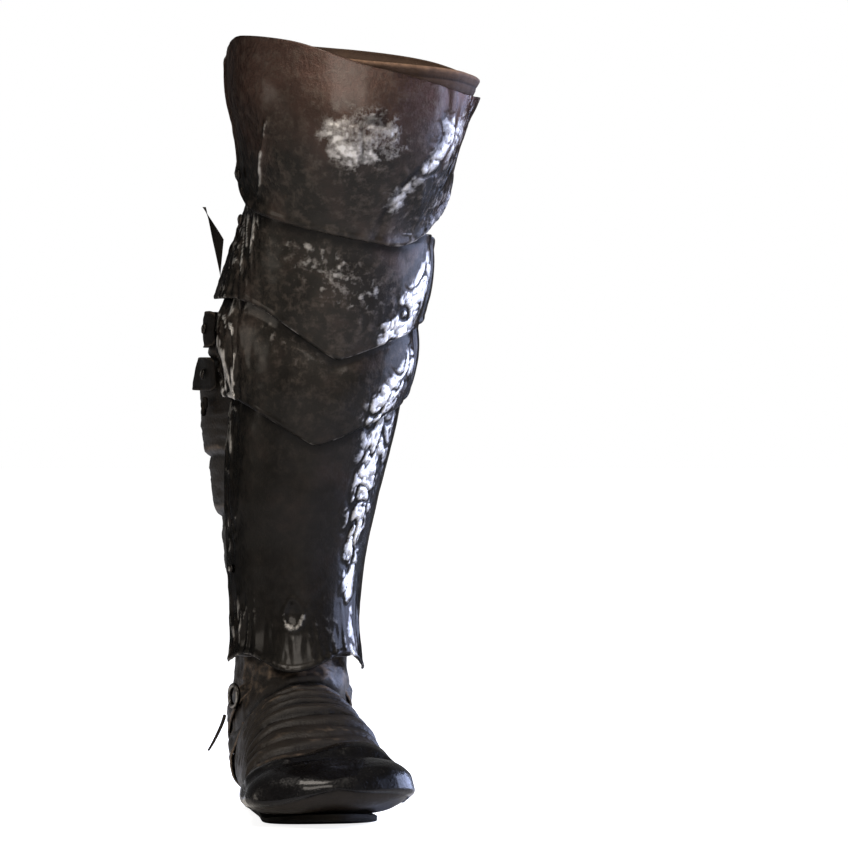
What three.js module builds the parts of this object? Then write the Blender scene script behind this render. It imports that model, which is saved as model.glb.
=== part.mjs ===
// Right-leg greave with its boot, in millimetres: +Z up, the toe towards -Y, the inner side of the
// leg towards +X. The origin is on the flat underside of the sole, straight under the ankle.
//
// Nearly every piece lies on one of two guide surfaces: the leg, a tube of level sections that leans
// inwards and bends at the knee, and the foot, a tube that runs from the toe back under the instep
// and then fans up into the ankle. A piece is a patch of such a surface, pushed outwards.
import * as THREE from "three";
import { mergeVertices } from "three/addons/utils/BufferGeometryUtils.js";

// ---------------------------------------------------------------- driving dimensions

const LEATHER = 2.4; // wall of the boot and the cuff
const STRAP = 1.8;
const IRON = 1.6; // wall of every plate
const CLEARANCE = 0.5;

// Level sections of the leather leg: height, centre x, front y, back y, half width.
const LEG = [
  [100, 0, -66, 61, 46],
  [115, 0, -62, 61, 46],
  [150, 0, -57, 62, 46],
  [197, 1, -58, 63, 50],
  [235, 4, -65, 64, 55],
  [281, 10, -71, 65, 60],
  [335, 17, -80, 65, 62],
  [394, 24, -89, 62, 62.5],
  [430, 28, -99, 51, 62],
  [463, 31, -118, 30, 62],
  [490, 32, -130, 14, 66],
  [515, 33, -136, 5, 73],
  [535, 35, -138, 2, 81],
  [553, 36.5, -138, 1, 84.5],
  [600, 37, -136, 3, 86],
];

const SHAFT_BOTTOM = 118;
const SHAFT_TOP = 528;
const FOLD_HEIGHTS = [132, 174, 225, 272, 346, 400, 440, 482];
const FOLD_DEPTH = 4.5;

const KNEE_TOP_OUTER = 578; // top edge of the knee plate, on the outer side of the leg
const KNEE_TOP_INNER = 541;
const KNEE_TIP = 425;
const UPPER_LAME_APEX = 341;
const LOWER_LAME_APEX = 277;
const SHIN_HEM = 114; // mean height of the wavy lower edge

const TOE_TIP_Y = -217;
const PIVOT_Y = -95; // the foot's sections fan about this line in front of the ankle
const PIVOT_Z = 135;
const FAN_END = THREE.MathUtils.degToRad(84);
const SOLE_THICK = 6;
const HEEL_BACK_Y = 62;

// ---------------------------------------------------------------- colours

const BLACK_IRON = { color: 0x34302c, roughness: 0.42, metalness: 0.9 };
const FITTING_IRON = { color: 0x3c3a38, roughness: 0.4, metalness: 0.9 };
const DARK_LEATHER = { color: 0x2c2721, roughness: 0.65, metalness: 0 };
const BROWN_LEATHER = { color: 0x5c4b3f, roughness: 0.7, metalness: 0 };
const STRAP_LEATHER = { color: 0x241f1b, roughness: 0.6, metalness: 0 };
const TOE_LEATHER = { color: 0x15130f, roughness: 0.25, metalness: 0 };
const SOLE_LEATHER = { color: 0x1d1914, roughness: 0.7, metalness: 0 };

// ---------------------------------------------------------------- small mathematics

const rad = THREE.MathUtils.degToRad;
const lerp = THREE.MathUtils.lerp;
const clamp01 = (t) => THREE.MathUtils.clamp(t, 0, 1);
const ease = (t) => clamp01(t) * clamp01(t) * (3 - 2 * clamp01(t));
const bell = (t) => Math.exp(-t * t);
const quarterRound = (t) => Math.sqrt(1 - (1 - clamp01(t)) ** 2);
const signedPower = (value, power) => Math.sign(value) * Math.abs(value) ** power;

// A smooth curve through [at, value] stations, level past both ends.
function curveThrough(stations) {
  const last = stations.length - 1;
  const slopes = stations.map((_, i) => {
    const before = stations[Math.max(i - 1, 0)];
    const after = stations[Math.min(i + 1, last)];
    return (after[1] - before[1]) / (after[0] - before[0]);
  });
  return (where) => {
    const at = THREE.MathUtils.clamp(where, stations[0][0], stations[last][0]);
    let i = 0;
    while (i < last - 1 && at > stations[i + 1][0]) i += 1;
    const span = stations[i + 1][0] - stations[i][0];
    const t = (at - stations[i][0]) / span;
    const rise = stations[i + 1][1] - stations[i][1];
    const bend = slopes[i] * span * t * (1 - t) ** 2 - slopes[i + 1] * span * t * t * (1 - t);
    return stations[i][1] + rise * (3 - 2 * t) * t * t + bend;
  };
}

// ---------------------------------------------------------------- closed walls

// A wall between two skins over the same grid: outer(u, v) and inner(u, v), with u and v from 0 to 1.
// Its four edges are closed by rims, except that a wall closed in u runs round onto itself. An edge
// where the skins shrink to a point closes by itself, because collapsed triangles are dropped.
function wall(name, finish, { columns, rows, outer, inner, closed = false }) {
  const points = [];
  const cells = [];
  const skins = [outer, inner].map((skin) => {
    const start = points.length / 3;
    for (let j = 0; j <= rows; j += 1)
      for (let i = 0; i <= columns; i += 1)
        points.push(...skin(closed && i === columns ? 0 : i / columns, j / rows));
    return (i, j) => start + j * (columns + 1) + i;
  });
  const [out, back] = skins;
  const quad = (a, b, c, d) => cells.push(a, b, c, a, c, d);
  for (let j = 0; j < rows; j += 1)
    for (let i = 0; i < columns; i += 1) {
      quad(out(i, j), out(i + 1, j), out(i + 1, j + 1), out(i, j + 1));
      quad(back(i, j), back(i, j + 1), back(i + 1, j + 1), back(i + 1, j));
    }
  for (let i = 0; i < columns; i += 1) {
    quad(out(i, 0), back(i, 0), back(i + 1, 0), out(i + 1, 0));
    quad(out(i, rows), out(i + 1, rows), back(i + 1, rows), back(i, rows));
  }
  for (let j = 0; !closed && j < rows; j += 1) {
    quad(out(0, j), out(0, j + 1), back(0, j + 1), back(0, j));
    quad(out(columns, j), back(columns, j), back(columns, j + 1), out(columns, j + 1));
  }
  const loose = new THREE.BufferGeometry();
  loose.setAttribute("position", new THREE.Float32BufferAttribute(points, 3));
  loose.setIndex(cells);
  return mesh(name, finish, facingOut(mergeVertices(loose, 1e-3)));
}

// The same geometry without collapsed triangles, turned so that its volume counts as positive.
function facingOut(geometry) {
  const position = geometry.attributes.position;
  const corner = (index) => new THREE.Vector3().fromBufferAttribute(position, index);
  const kept = [];
  let volume = 0;
  for (let i = 0; i < geometry.index.count; i += 3) {
    const [a, b, c] = [0, 1, 2].map((k) => geometry.index.getX(i + k));
    if (a === b || b === c || c === a) continue;
    kept.push([a, b, c]);
    volume += corner(a).dot(corner(b).cross(corner(c)));
  }
  geometry.setIndex(kept.flatMap(([a, b, c]) => (volume < 0 ? [a, c, b] : [a, b, c])));
  return geometry;
}

function mesh(name, finish, geometry) {
  const made = new THREE.Mesh(geometry, new THREE.MeshStandardMaterial(finish));
  made.name = name;
  return made;
}

// ---------------------------------------------------------------- the leg

const legCurves = [1, 2, 3, 4].map((k) => curveThrough(LEG.map((row) => [row[0], row[k]])));
const LEG_SQUARENESS = 2 / 2.2;

// A point of the leg at an angle from its front towards the inner side, pushed out by an offset.
function legPoint(angle, z, offset) {
  const [x, front, back, halfWidth] = legCurves.map((curve) => curve(z));
  const halfDepth = (back - front) / 2;
  return [
    x + (halfWidth + offset) * signedPower(Math.sin(angle), LEG_SQUARENESS),
    (back + front) / 2 - (halfDepth + offset) * signedPower(Math.cos(angle), LEG_SQUARENESS),
    z,
  ];
}

// Slouched leather: level creases that run inwards, deepest at the back of the leg.
function foldDepth(angle, z) {
  const behind = 0.5 - 0.5 * Math.cos(angle);
  const depth = lerp(0.8, FOLD_DEPTH, behind) * ease((z - SHAFT_BOTTOM) / 60);
  const creases = FOLD_HEIGHTS.map((height, k) => {
    const slant = 7 * Math.sin(angle * (k % 2 ? 1 : 2) + k * 1.9) * behind;
    return bell((z - height - slant) / 9);
  });
  return depth * Math.min(1, Math.max(...creases));
}

// The leather swells behind the outer edge of the plates, where the straps draw it together.
function swell(angle, z) {
  const turned = angle > Math.PI / 2 ? angle - 2 * Math.PI : angle;
  const height = z - 325;
  const fall = height > 0 ? 60 : 90;
  return 27 * bell((turned + rad(120)) / rad(26)) * bell(height / fall);
}

// The outer ends of the lames flare away from the leg, and the straps over them follow.
function outerFlare(angle, z) {
  const turned = angle > Math.PI ? angle - 2 * Math.PI : angle;
  return 13 * ease((-turned - rad(48)) / rad(44)) * bell((z - 372) / 38);
}

const leatherPoint = (angle, z, offset) => legPoint(angle, z, offset + swell(angle, z));

function bootShaft() {
  const skin = (offset) => (u, v) => {
    const angle = 2 * Math.PI * u;
    const z = lerp(SHAFT_BOTTOM, SHAFT_TOP, v);
    return leatherPoint(angle, z, offset - foldDepth(angle, z));
  };
  return wall("boot_shaft", DARK_LEATHER, {
    columns: 22,
    rows: 26,
    outer: skin(0),
    inner: skin(-LEATHER),
    closed: true,
  });
}

// ---------------------------------------------------------------- plates over the leg

// A plate covers angles from its outer edge to its inner edge, between two edge lines.
function plate(name, { from, to, bottom, top, offset, columns, rows }) {
  const skin = (inset) => (u, v) => {
    const angle = lerp(rad(from), rad(to), u);
    const z = lerp(bottom(angle), top(angle), v);
    return legPoint(angle, z, offset(angle, z, v) - inset);
  };
  return wall(name, BLACK_IRON, { columns, rows, outer: skin(0), inner: skin(IRON) });
}

// Height of a lower edge that comes to a blunt point at the front and rises to both sides.
function chevron(apex, outerRise, innerRise, peak) {
  return (angle) => {
    const across = Math.sin(angle - rad(peak));
    const run = Math.sqrt(across * across + 0.0016) - 0.04;
    return apex + Math.min(1, run / 0.9) * (across < 0 ? outerRise : innerRise);
  };
}

const upperLameBottom = chevron(UPPER_LAME_APEX, 46, 26, 0);
const lowerLameBottom = chevron(LOWER_LAME_APEX, 36, 30, -4);

function kneeBottom(angle) {
  const tip = rad(18);
  const wing = rad(25);
  if (angle > tip) return KNEE_TIP + 86 * (Math.max(0, angle - wing) / rad(87)) ** 1.6;
  const corner = 26 * (1 - quarterRound((angle + rad(98)) / rad(30)));
  return KNEE_TIP + 36 * ((tip - angle) / rad(116)) ** 1.15 + corner;
}

function kneeTop(angle) {
  const middle = (KNEE_TOP_OUTER + KNEE_TOP_INNER) / 2;
  const slope = (KNEE_TOP_OUTER - KNEE_TOP_INNER) / 2;
  const outerCorner = 24 * (1 - quarterRound((angle + rad(98)) / rad(26)));
  const innerCorner = 8 * (1 - quarterRound((rad(112) - angle) / rad(12)));
  const arch = 7 * bell((angle + rad(35)) / rad(60));
  const scoop = 7 * ease((angle + rad(40)) / rad(45)) * (1 - 0.5 * ease((angle - rad(40)) / rad(50)));
  return middle - slope * Math.sin(angle + rad(10)) + arch - scoop - outerCorner - innerCorner;
}

function kneePlate() {
  const offset = (angle, z, v) => {
    const hollowed = 13 + 3 * bell((z - 490) / 40);
    const boss = 4.5 * bell((angle + rad(9)) / rad(34)) * bell((z - 512) / 34);
    return hollowed + boss + 1.5 * (1 - ease(v / 0.1));
  };
  return plate("knee_plate", {
    from: -98,
    to: 112,
    bottom: kneeBottom,
    top: kneeTop,
    offset,
    columns: 24,
    rows: 8,
  });
}

// How far an edge line turns back to round the inner corner of a lame that ends at this angle.
const innerRound = (angle, end) => 11 * (1 - quarterRound((rad(end - 9) - angle) / rad(24)));

function upperLame() {
  return plate("upper_lame", {
    from: -92,
    to: 92,
    bottom: (angle) => upperLameBottom(angle) + innerRound(angle, 92),
    top: (angle) => {
      const underKnee = kneeBottom(THREE.MathUtils.clamp(angle, rad(-68), rad(18))) + 10;
      return underKnee - 1.6 * innerRound(angle, 92);
    },
    offset: (angle, z, v) => {
      const belly = 3.4 * Math.sin(Math.PI * Math.min(1, v * 1.12)) ** 0.8;
      return 11 + belly + outerFlare(angle, z);
    },
    columns: 20,
    rows: 5,
  });
}

function lowerLame() {
  return plate("lower_lame", {
    from: -84,
    to: 84,
    bottom: (angle) => lowerLameBottom(angle) + innerRound(angle, 84),
    top: (angle) => upperLameBottom(angle) + 14,
    offset: (angle, z, v) => {
      const belly = 3.4 * Math.sin(Math.PI * Math.min(1, v * 1.35)) ** 0.8;
      return 7.8 + belly + outerFlare(angle, z);
    },
    columns: 20,
    rows: 5,
  });
}

function shinPlate() {
  const offset = (angle, z) => {
    const ridge = 1.4 * bell((angle + rad(4)) / rad(9));
    const flare = 1.4 * (1 - ease((z - 108) / 30));
    return 4.8 + ridge * ease((z - 130) / 60) + flare;
  };
  return plate("shin_plate", {
    from: -80,
    to: 80,
    bottom: (angle) => SHIN_HEM - 6.5 * Math.cos(4 * (angle + rad(12))),
    top: (angle) => lowerLameBottom(angle) + 13,
    offset,
    columns: 20,
    rows: 9,
  });
}

// ---------------------------------------------------------------- cuff at the thigh

function thighCuff() {
  const rim = (angle) => {
    const behind = 0.5 - 0.5 * Math.cos(angle);
    const innerDip = 9 * bell((angle - rad(88)) / rad(36));
    return 560 - 8 * Math.sin(angle) + 18 * behind - innerDip;
  };
  const skin = (offset) => (u, v) => {
    const angle = 2 * Math.PI * u;
    const roll = 3 * ease((v - 0.4) / 0.6);
    return legPoint(angle, lerp(505, rim(angle), v), offset + roll);
  };
  return wall("thigh_cuff", BROWN_LEATHER, {
    columns: 26,
    rows: 3,
    outer: skin(CLEARANCE + LEATHER + 1),
    inner: skin(CLEARANCE + 0.6),
    closed: true,
  });
}

// ---------------------------------------------------------------- straps round the calf

const CALF_RADIUS = 72;
const STRAP_LIFT = 0.8; // over the leather on the inner side of the leg
const SWELL_LIFT = 2.2; // and over the swell
const ON_PLATE = 12; // lift that carries a strap over the lower lame
const UPPER_STRAP = { low: 351, high: 378, from: 78, to: 287, slack: 3 };
const LOWER_STRAP = { low: 318, high: 343, from: 78, to: 287, slack: 5 };

// A level band round the back of the leg, from one angle to the other. It lies on the leather, and
// climbs over the outer edge of a plate when its lift there is given, where it is a little slack.
function strap(name, { low, high, from, to, slack = 0, onPlate = STRAP_LIFT }) {
  const skin = (offset) => (u, v) => {
    const angle = lerp(rad(from), rad(to), u);
    const z = lerp(low, high, v);
    const overSwell = ease((angle - rad(110)) / rad(70));
    const onLeather = lerp(STRAP_LIFT, SWELL_LIFT, overSwell) + swell(angle, z);
    const flared = onPlate > STRAP_LIFT ? onPlate + outerFlare(angle, z) : onPlate;
    const lift = lerp(onLeather, flared, ease((angle - rad(246)) / rad(26)));
    return legPoint(angle, z, lift + slack * bell((angle - rad(262)) / rad(13)) + offset);
  };
  return wall(name, STRAP_LEATHER, { columns: 20, rows: 1, outer: skin(STRAP), inner: skin(0) });
}

// A rectangular frame bent to the leg.
function buckleFrame(name, { angle, z, width, height, bar, offset, thick }) {
  const skin = (lift) => (u, v) => {
    const turn = 2 * Math.PI * u + Math.PI / 4;
    const square = 1 / Math.max(Math.abs(Math.cos(turn)), Math.abs(Math.sin(turn)));
    const across = (width / 2 - bar * v) * Math.cos(turn) * square;
    const up = (height / 2 - bar * v) * Math.sin(turn) * square;
    return legPoint(rad(angle) + across / CALF_RADIUS, z + up, offset + lift);
  };
  return wall(name, FITTING_IRON, {
    columns: 12,
    rows: 1,
    outer: skin(thick),
    inner: skin(0),
    closed: true,
  });
}

// A small bent patch: a buckle's tongue, or a keeper over a strap.
function patch(name, finish, { from, to, low, high, offset, thick }) {
  const skin = (lift) => (u, v) => legPoint(lerp(rad(from), rad(to), u), lerp(low, high, v), offset + lift);
  return wall(name, finish, { columns: 4, rows: 1, outer: skin(thick), inner: skin(0) });
}

// A loose strap end riveted behind the outer edge of the upper lame. It stands off the leg edgewise,
// wide at its root, and runs up and out to its tip.
function strapEnd() {
  const skin = (side) => (u, v) => {
    const z = lerp(lerp(404, 432, u), 456, v ** 1.2);
    const angle = rad(-98) + (side * STRAP - 3 * Math.sin(Math.PI * v)) / CALF_RADIUS;
    return legPoint(angle, z, 18.5 + 2.5 * u + 21 * v ** 1.3);
  };
  return wall("knee_strap_end", STRAP_LEATHER, { columns: 3, rows: 6, outer: skin(0.5), inner: skin(-0.5) });
}

// ---------------------------------------------------------------- small round fittings

// Turns a round piece so that its axis points straight out of the leg, and moves it there.
function placeOnLeg(piece, angle, z, offset) {
  const at = new THREE.Vector3(...legPoint(rad(angle), z, offset));
  const aside = new THREE.Vector3(...legPoint(rad(angle) + 0.01, z, offset)).sub(at);
  const above = new THREE.Vector3(...legPoint(rad(angle), z + 1, offset)).sub(at);
  const outwards = aside.cross(above).normalize();
  piece.position.copy(at);
  piece.quaternion.setFromUnitVectors(new THREE.Vector3(0, 1, 0), outwards);
  return piece;
}

function rivet(name, radius = 4.2, height = 2.6) {
  const dome = [0, 1, 2, 3].map((k) => {
    const turn = (k * Math.PI) / 6;
    return new THREE.Vector2(radius * Math.cos(turn), height * (0.3 + 0.7 * Math.sin(turn)));
  });
  dome[3].x = 0;
  const outline = [new THREE.Vector2(0, 0), new THREE.Vector2(radius, 0), ...dome];
  return mesh(name, FITTING_IRON, closedLathe(outline, 8));
}

function ring(name, finish, radius, thick) {
  const outline = Array.from({ length: 7 }, (_, k) => {
    const turn = (2 * Math.PI * (k % 6)) / 6;
    return new THREE.Vector2(radius + thick * Math.cos(turn), thick * Math.sin(turn));
  });
  return mesh(name, finish, closedLathe(outline, 12));
}

function closedLathe(outline, segments) {
  const turned = new THREE.LatheGeometry(outline, segments);
  turned.deleteAttribute("normal");
  turned.deleteAttribute("uv");
  return facingOut(mergeVertices(turned, 1e-3));
}

// ---------------------------------------------------------------- the foot

const footTop = curveThrough([[-217, 38], [-190, 45], [-165, 48], [-145, 55], [-120, 67], [-95, 85]]);
const footWidth = curveThrough([[-217, 55.5], [-185, 57.5], [-160, 56.5], [-120, 55.5], [-95, 52]]);
const footShift = curveThrough([[-217, -7.5], [-160, -6.5], [-120, -4], [-95, -2.5], [-40, -1.5], [0, 0]]);
const fanNear = curveThrough([[0, 50], [25, 46], [45, 47], [65, 45], [90, 43]]);
const fanWidth = curveThrough([[0, 52], [25, 48], [50, 43], [66, 43.5], [72, 42.5], [84, 40.5]]);

const toeSpring = (y) => 6 * ease((-140 - y) / 77);

// The toe twists: its inner side stands higher than its outer side.
const toeTwist = (across, y) => 8 * ease((-150 - y) / 60) * ease(across / 52);

// One section of the foot. Stations 0 to 1 run from the toe tip back to the pivot line, in upright
// planes; stations 1 to 2 fan about the pivot line up to the ankle, and the far ends of the fan
// follow a superellipse that rounds the heel.
function footSection(station) {
  if (station <= 1) {
    const y = TOE_TIP_Y + (PIVOT_Y - TOE_TIP_Y) * (1 - Math.cos((station * Math.PI) / 2));
    const back = y - TOE_TIP_Y;
    const middle = 26 + 0.8 * toeSpring(y);
    const top = lerp(middle, footTop(y), quarterRound(back / 24));
    const bottom = lerp(middle, SOLE_THICK + CLEARANCE + toeSpring(y), quarterRound(back / 20));
    return {
      near: [y, top],
      far: [y, bottom],
      width: footWidth(y) * quarterRound(back / 32),
      shift: footShift(y),
      flat: 0.1,
      power: 2 / 2.5,
      underPower: 2 / 3.2,
    };
  }
  const turn = (station - 1) * FAN_END;
  const degrees = THREE.MathUtils.radToDeg(turn);
  const down = (PIVOT_Z - SOLE_THICK - CLEARANCE) ** -1 * Math.cos(turn);
  const rear = (HEEL_BACK_Y - 4 - PIVOT_Y) ** -1 * Math.sin(turn);
  const far = (down ** 7 + rear ** 7) ** (-1 / 7);
  const along = (reach) => [PIVOT_Y + reach * Math.sin(turn), PIVOT_Z - reach * Math.cos(turn)];
  return {
    near: along(fanNear(degrees)),
    far: along(far),
    width: fanWidth(degrees),
    shift: footShift(PIVOT_Y + (station - 1) * 95),
    flat: lerp(0.1, 0, station - 1),
    power: lerp(2 / 2.5, 2 / 2.15, station - 1),
    underPower: lerp(2 / 3.2, 2 / 2.15, station - 1),
  };
}

// Pleats across the instep and the ankle, as shallow creases along the foot's own sections.
function pleatDepth(station, angle) {
  const onTop = ease(0.5 + 0.9 * Math.cos(angle));
  const creases = [0.72, 0.86, 1.0, 1.14, 1.3].map((at) =>
    bell((station - at - 0.03 * Math.sin(angle)) / 0.035),
  );
  return 1.8 * onTop * Math.max(...creases);
}

function footSkin(station, angle) {
  const { near, far, width, shift, flat, power, underPower } = footSection(station);
  const roundness = Math.cos(angle) > 0 ? power : underPower;
  const depth = -signedPower(Math.cos(angle), roundness);
  const across = width * (1 + flat * depth) * signedPower(Math.sin(angle), roundness);
  const y = lerp(near[0], far[0], 0.5 + 0.5 * depth);
  const z = lerp(near[1], far[1], 0.5 + 0.5 * depth);
  return new THREE.Vector3(shift + across, y, z + toeTwist(across, y));
}

// A point of the foot, pushed out along the surface's own normal.
function footPoint(station, angle, offset) {
  const safe = Math.max(station, 0.03);
  const at = footSkin(safe, angle);
  const round = footSkin(safe, angle + 0.02).sub(footSkin(safe, angle - 0.02));
  const along = footSkin(safe + 0.01, angle).sub(footSkin(safe - 0.01, angle));
  const outwards = round.cross(along).normalize();
  if (station < safe) {
    const tip = footSkin(0, 0);
    return [tip.x, tip.y - offset, tip.z];
  }
  return at.addScaledVector(outwards, offset).toArray();
}

function footUpper() {
  const skin = (offset) => (u, v) => {
    const angle = 2 * Math.PI * u;
    const station = 2 * v ** 0.9;
    return footPoint(station, angle, offset - pleatDepth(station, angle));
  };
  return wall("foot_upper", DARK_LEATHER, {
    columns: 20,
    rows: 24,
    outer: skin(0),
    inner: skin(-LEATHER),
    closed: true,
  });
}

const CAP_LIFT = 1.5;
const CAP_THICK = 2;

function toeCap() {
  const skin = (offset) => (u, v) => {
    const angle = rad(lerp(-116, 116, u));
    const edge = 0.66 + 0.05 * Math.sin(angle * 2);
    const lip = 2.2 * ease((v - 0.78) / 0.22) * ease(0.4 + Math.cos(angle));
    return footPoint(edge * v, angle, offset + lip);
  };
  return wall("toe_cap", TOE_LEATHER, {
    columns: 14,
    rows: 6,
    outer: skin(CAP_LIFT + CAP_THICK),
    inner: skin(CAP_LIFT),
  });
}

const soleWidth = curveThrough([[-222, 38], [-160, 45], [-120, 43], [-60, 38], [0, 34], [62, 31]]);

function sole() {
  const front = TOE_TIP_Y + 4;
  const back = HEEL_BACK_Y - 8;
  const skin = (height) => (u, v) => {
    const y = lerp(front, back, 0.5 - 0.5 * Math.cos(Math.PI * u));
    const frontRounding = quarterRound((y - front) / lerp(56, 96, v));
    const rounding = frontRounding * quarterRound((back - y) / 32);
    return [footShift(y) + lerp(-1, 1, v) * soleWidth(y) * rounding, y, height(y)];
  };
  return wall("sole", SOLE_LEATHER, {
    columns: 22,
    rows: 1,
    outer: skin((y) => SOLE_THICK + toeSpring(y)),
    inner: skin((y) => toeSpring(y) * 1.1),
  });
}

const BAND_LIFT = 1.8;
const BAND_THICK = 2;

// A band that follows the fan of the foot's sections round the heel.
function heelBand(name, fromDegrees, toDegrees, reach) {
  const skin = (offset) => (u, v) => {
    const angle = lerp(rad(180 - reach), rad(180 + reach), u);
    const station = 1 + lerp(rad(fromDegrees), rad(toDegrees), v) / FAN_END;
    return footPoint(station, angle, offset);
  };
  return wall(name, DARK_LEATHER, {
    columns: 18,
    rows: 3,
    outer: skin(BAND_LIFT + BAND_THICK),
    inner: skin(BAND_LIFT),
  });
}

// ---------------------------------------------------------------- ankle tie, on the outer side

const ANKLE_TIE = { angle: -72, station: 1.69 };

function placeOnFoot(piece, station, degrees, offset) {
  const at = new THREE.Vector3(...footPoint(station, rad(degrees), offset));
  const root = new THREE.Vector3(...footPoint(station, rad(degrees), 0));
  piece.position.copy(at);
  piece.quaternion.setFromUnitVectors(new THREE.Vector3(0, 1, 0), at.clone().sub(root).normalize());
  return piece;
}

// The tie's loose end, which hangs below the ring and swings out from the boot.
function tieEnd() {
  const [rootX, rootY, rootZ] = footPoint(ANKLE_TIE.station, rad(ANKLE_TIE.angle), 8);
  const skin = (lift) => (u, v) => {
    const taper = 1 - 0.4 * v;
    return [rootX - 5 - 13 * v ** 1.4 - lift, rootY + lerp(-3.5, 3.5, u) * taper, rootZ - 14 - 27 * v];
  };
  return wall("ankle_tie_end", STRAP_LEATHER, { columns: 1, rows: 4, outer: skin(STRAP), inner: skin(0) });
}

// ---------------------------------------------------------------- the whole

const greave = new THREE.Group();
greave.name = "greave";

greave.add(sole(), footUpper(), toeCap());
greave.add(heelBand("heel_band_lower", 44, 53, 108), heelBand("heel_band_upper", 56, 63, 122));
greave.add(bootShaft(), thighCuff());
greave.add(shinPlate(), lowerLame(), upperLame(), kneePlate());

greave.add(strap("knee_strap", { low: 455, high: 467, from: 74, to: 276 }), strapEnd());
greave.add(strap("upper_calf_strap", { ...UPPER_STRAP, onPlate: ON_PLATE }));
greave.add(strap("lower_calf_strap", { ...LOWER_STRAP, onPlate: ON_PLATE }));
greave.add(
  buckleFrame("buckle_frame", { angle: 110, z: 364.5, width: 34, height: 38, bar: 5, offset: 3, thick: 3 }),
  patch("buckle_tongue", FITTING_IRON, {
    from: 97,
    to: 124,
    low: 362,
    high: 367,
    offset: 6.4,
    thick: 1.8,
  }),
  patch("strap_keeper", STRAP_LEATHER, {
    from: 130,
    to: 137,
    low: 349,
    high: 380,
    offset: 3.8,
    thick: 1.6,
  }),
);

const onUpperStrap = ON_PLATE + STRAP + 13.9;
const onLowerStrap = ON_PLATE + STRAP + 9.2;
greave.add(
  placeOnLeg(rivet("upper_strap_rivet"), -88, 364.5, onUpperStrap),
  placeOnLeg(rivet("lower_strap_rivet"), -92, 330.5, onLowerStrap),
  placeOnLeg(rivet("knee_rivet"), -89, 480, 18.4),
  placeOnLeg(rivet("upper_lame_rivet"), -86, 446, 14.6),
  placeOnLeg(rivet("shin_rivet", 3.2, 2.2), -70, 184, 5.4),
  placeOnLeg(ring("thong_knot", STRAP_LEATHER, 5.2, 2.2), -98, 307, 18.5),
);
greave.add(
  placeOnFoot(ring("ankle_ring", FITTING_IRON, 8, 1.9), ANKLE_TIE.station, ANKLE_TIE.angle, 6.8),
  tieEnd(),
);

export default greave;
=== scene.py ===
# %% [markdown]
# # A right-leg greave with its boot
#
# The object is a knight's lower leg: four plates of blackened iron, strapped over a soft leather
# boot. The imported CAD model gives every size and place. Each plain CAD solid is replaced here by
# a fine surface of the same size that has the dents, folds, rims and finish of the real thing.
# %% Load the frame
import itertools
import math

import bmesh
import bpy
import numpy as np
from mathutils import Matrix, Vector


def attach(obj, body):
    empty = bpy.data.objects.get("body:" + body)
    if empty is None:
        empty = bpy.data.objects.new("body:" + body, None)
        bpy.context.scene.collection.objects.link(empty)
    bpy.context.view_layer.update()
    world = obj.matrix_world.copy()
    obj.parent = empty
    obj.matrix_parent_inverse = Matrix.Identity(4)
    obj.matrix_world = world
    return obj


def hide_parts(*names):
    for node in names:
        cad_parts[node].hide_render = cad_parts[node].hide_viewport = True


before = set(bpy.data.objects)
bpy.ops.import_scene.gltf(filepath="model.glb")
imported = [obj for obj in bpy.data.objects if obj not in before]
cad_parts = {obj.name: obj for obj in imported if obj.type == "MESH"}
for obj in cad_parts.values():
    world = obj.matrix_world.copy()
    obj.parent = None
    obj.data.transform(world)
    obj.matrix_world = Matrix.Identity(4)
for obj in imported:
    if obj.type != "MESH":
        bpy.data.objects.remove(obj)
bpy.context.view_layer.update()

# %% [markdown]
# ## Small mathematics
#
# A modelled shape is a sum of simple bumps and steps. A bell is one soft bump, a smooth step
# goes from 0 to 1 without a corner, and a quarter round rises steeply and then levels off, as a
# rounded edge does. A curve through a few stations gives a limb its changing width.
# %% Small mathematics


def mix(a, b, t):
    """a where t is 0, b where t is 1, and in proportion between."""
    return a + (b - a) * t


def smooth_step(t):
    """3t squared minus 2t cubed, held level outside 0 to 1."""
    t = np.clip(t, 0, 1)
    return t * t * (3 - 2 * t)


def between(value, low, high):
    """A smooth step that rises from low to high."""
    return smooth_step((value - low) / (high - low))


def bell(t):
    """e to the power of minus t squared."""
    return np.exp(-t * t)


def quarter_round(t):
    """The height of a quarter circle, from 0 at t = 0 to 1 at t = 1 and after."""
    return np.sqrt(1 - (1 - np.clip(t, 0, 1)) ** 2)


def inset(t, length):
    """Distance from the nearer end, for a parameter that runs from 0 to 1 along a length."""
    return np.minimum(t, 1 - t) * length


def full_turn(count):
    """Evenly spaced angles once round, without the last one, which would repeat the first."""
    return 2 * np.pi * np.linspace(0, 1, count, endpoint=False)


def signed_power(value, power):
    """The value's size to a power, with its own sign: it makes an ellipse squarer."""
    return np.sign(value) * np.abs(value) ** power


def curve_through(stations):
    """A cubic through [at, value] stations, with slopes from their neighbours, level outside."""
    at, value = np.array(stations, float).T
    before, after = np.r_[0, : len(at) - 1], np.r_[1 : len(at), len(at) - 1]
    slope = (value[after] - value[before]) / (at[after] - at[before])

    def curve(where):
        where = np.clip(where, at[0], at[-1])
        i = np.clip(np.searchsorted(at, where, side="right") - 1, 0, len(at) - 2)
        span = at[i + 1] - at[i]
        t = (where - at[i]) / span
        rise = (value[i + 1] - value[i]) * (3 - 2 * t) * t * t
        return value[i] + rise + slope[i] * span * t * (1 - t) ** 2 - slope[i + 1] * span * t * t * (1 - t)

    return curve


print("a smooth step at a quarter:", smooth_step(np.array(0.25)))

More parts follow.
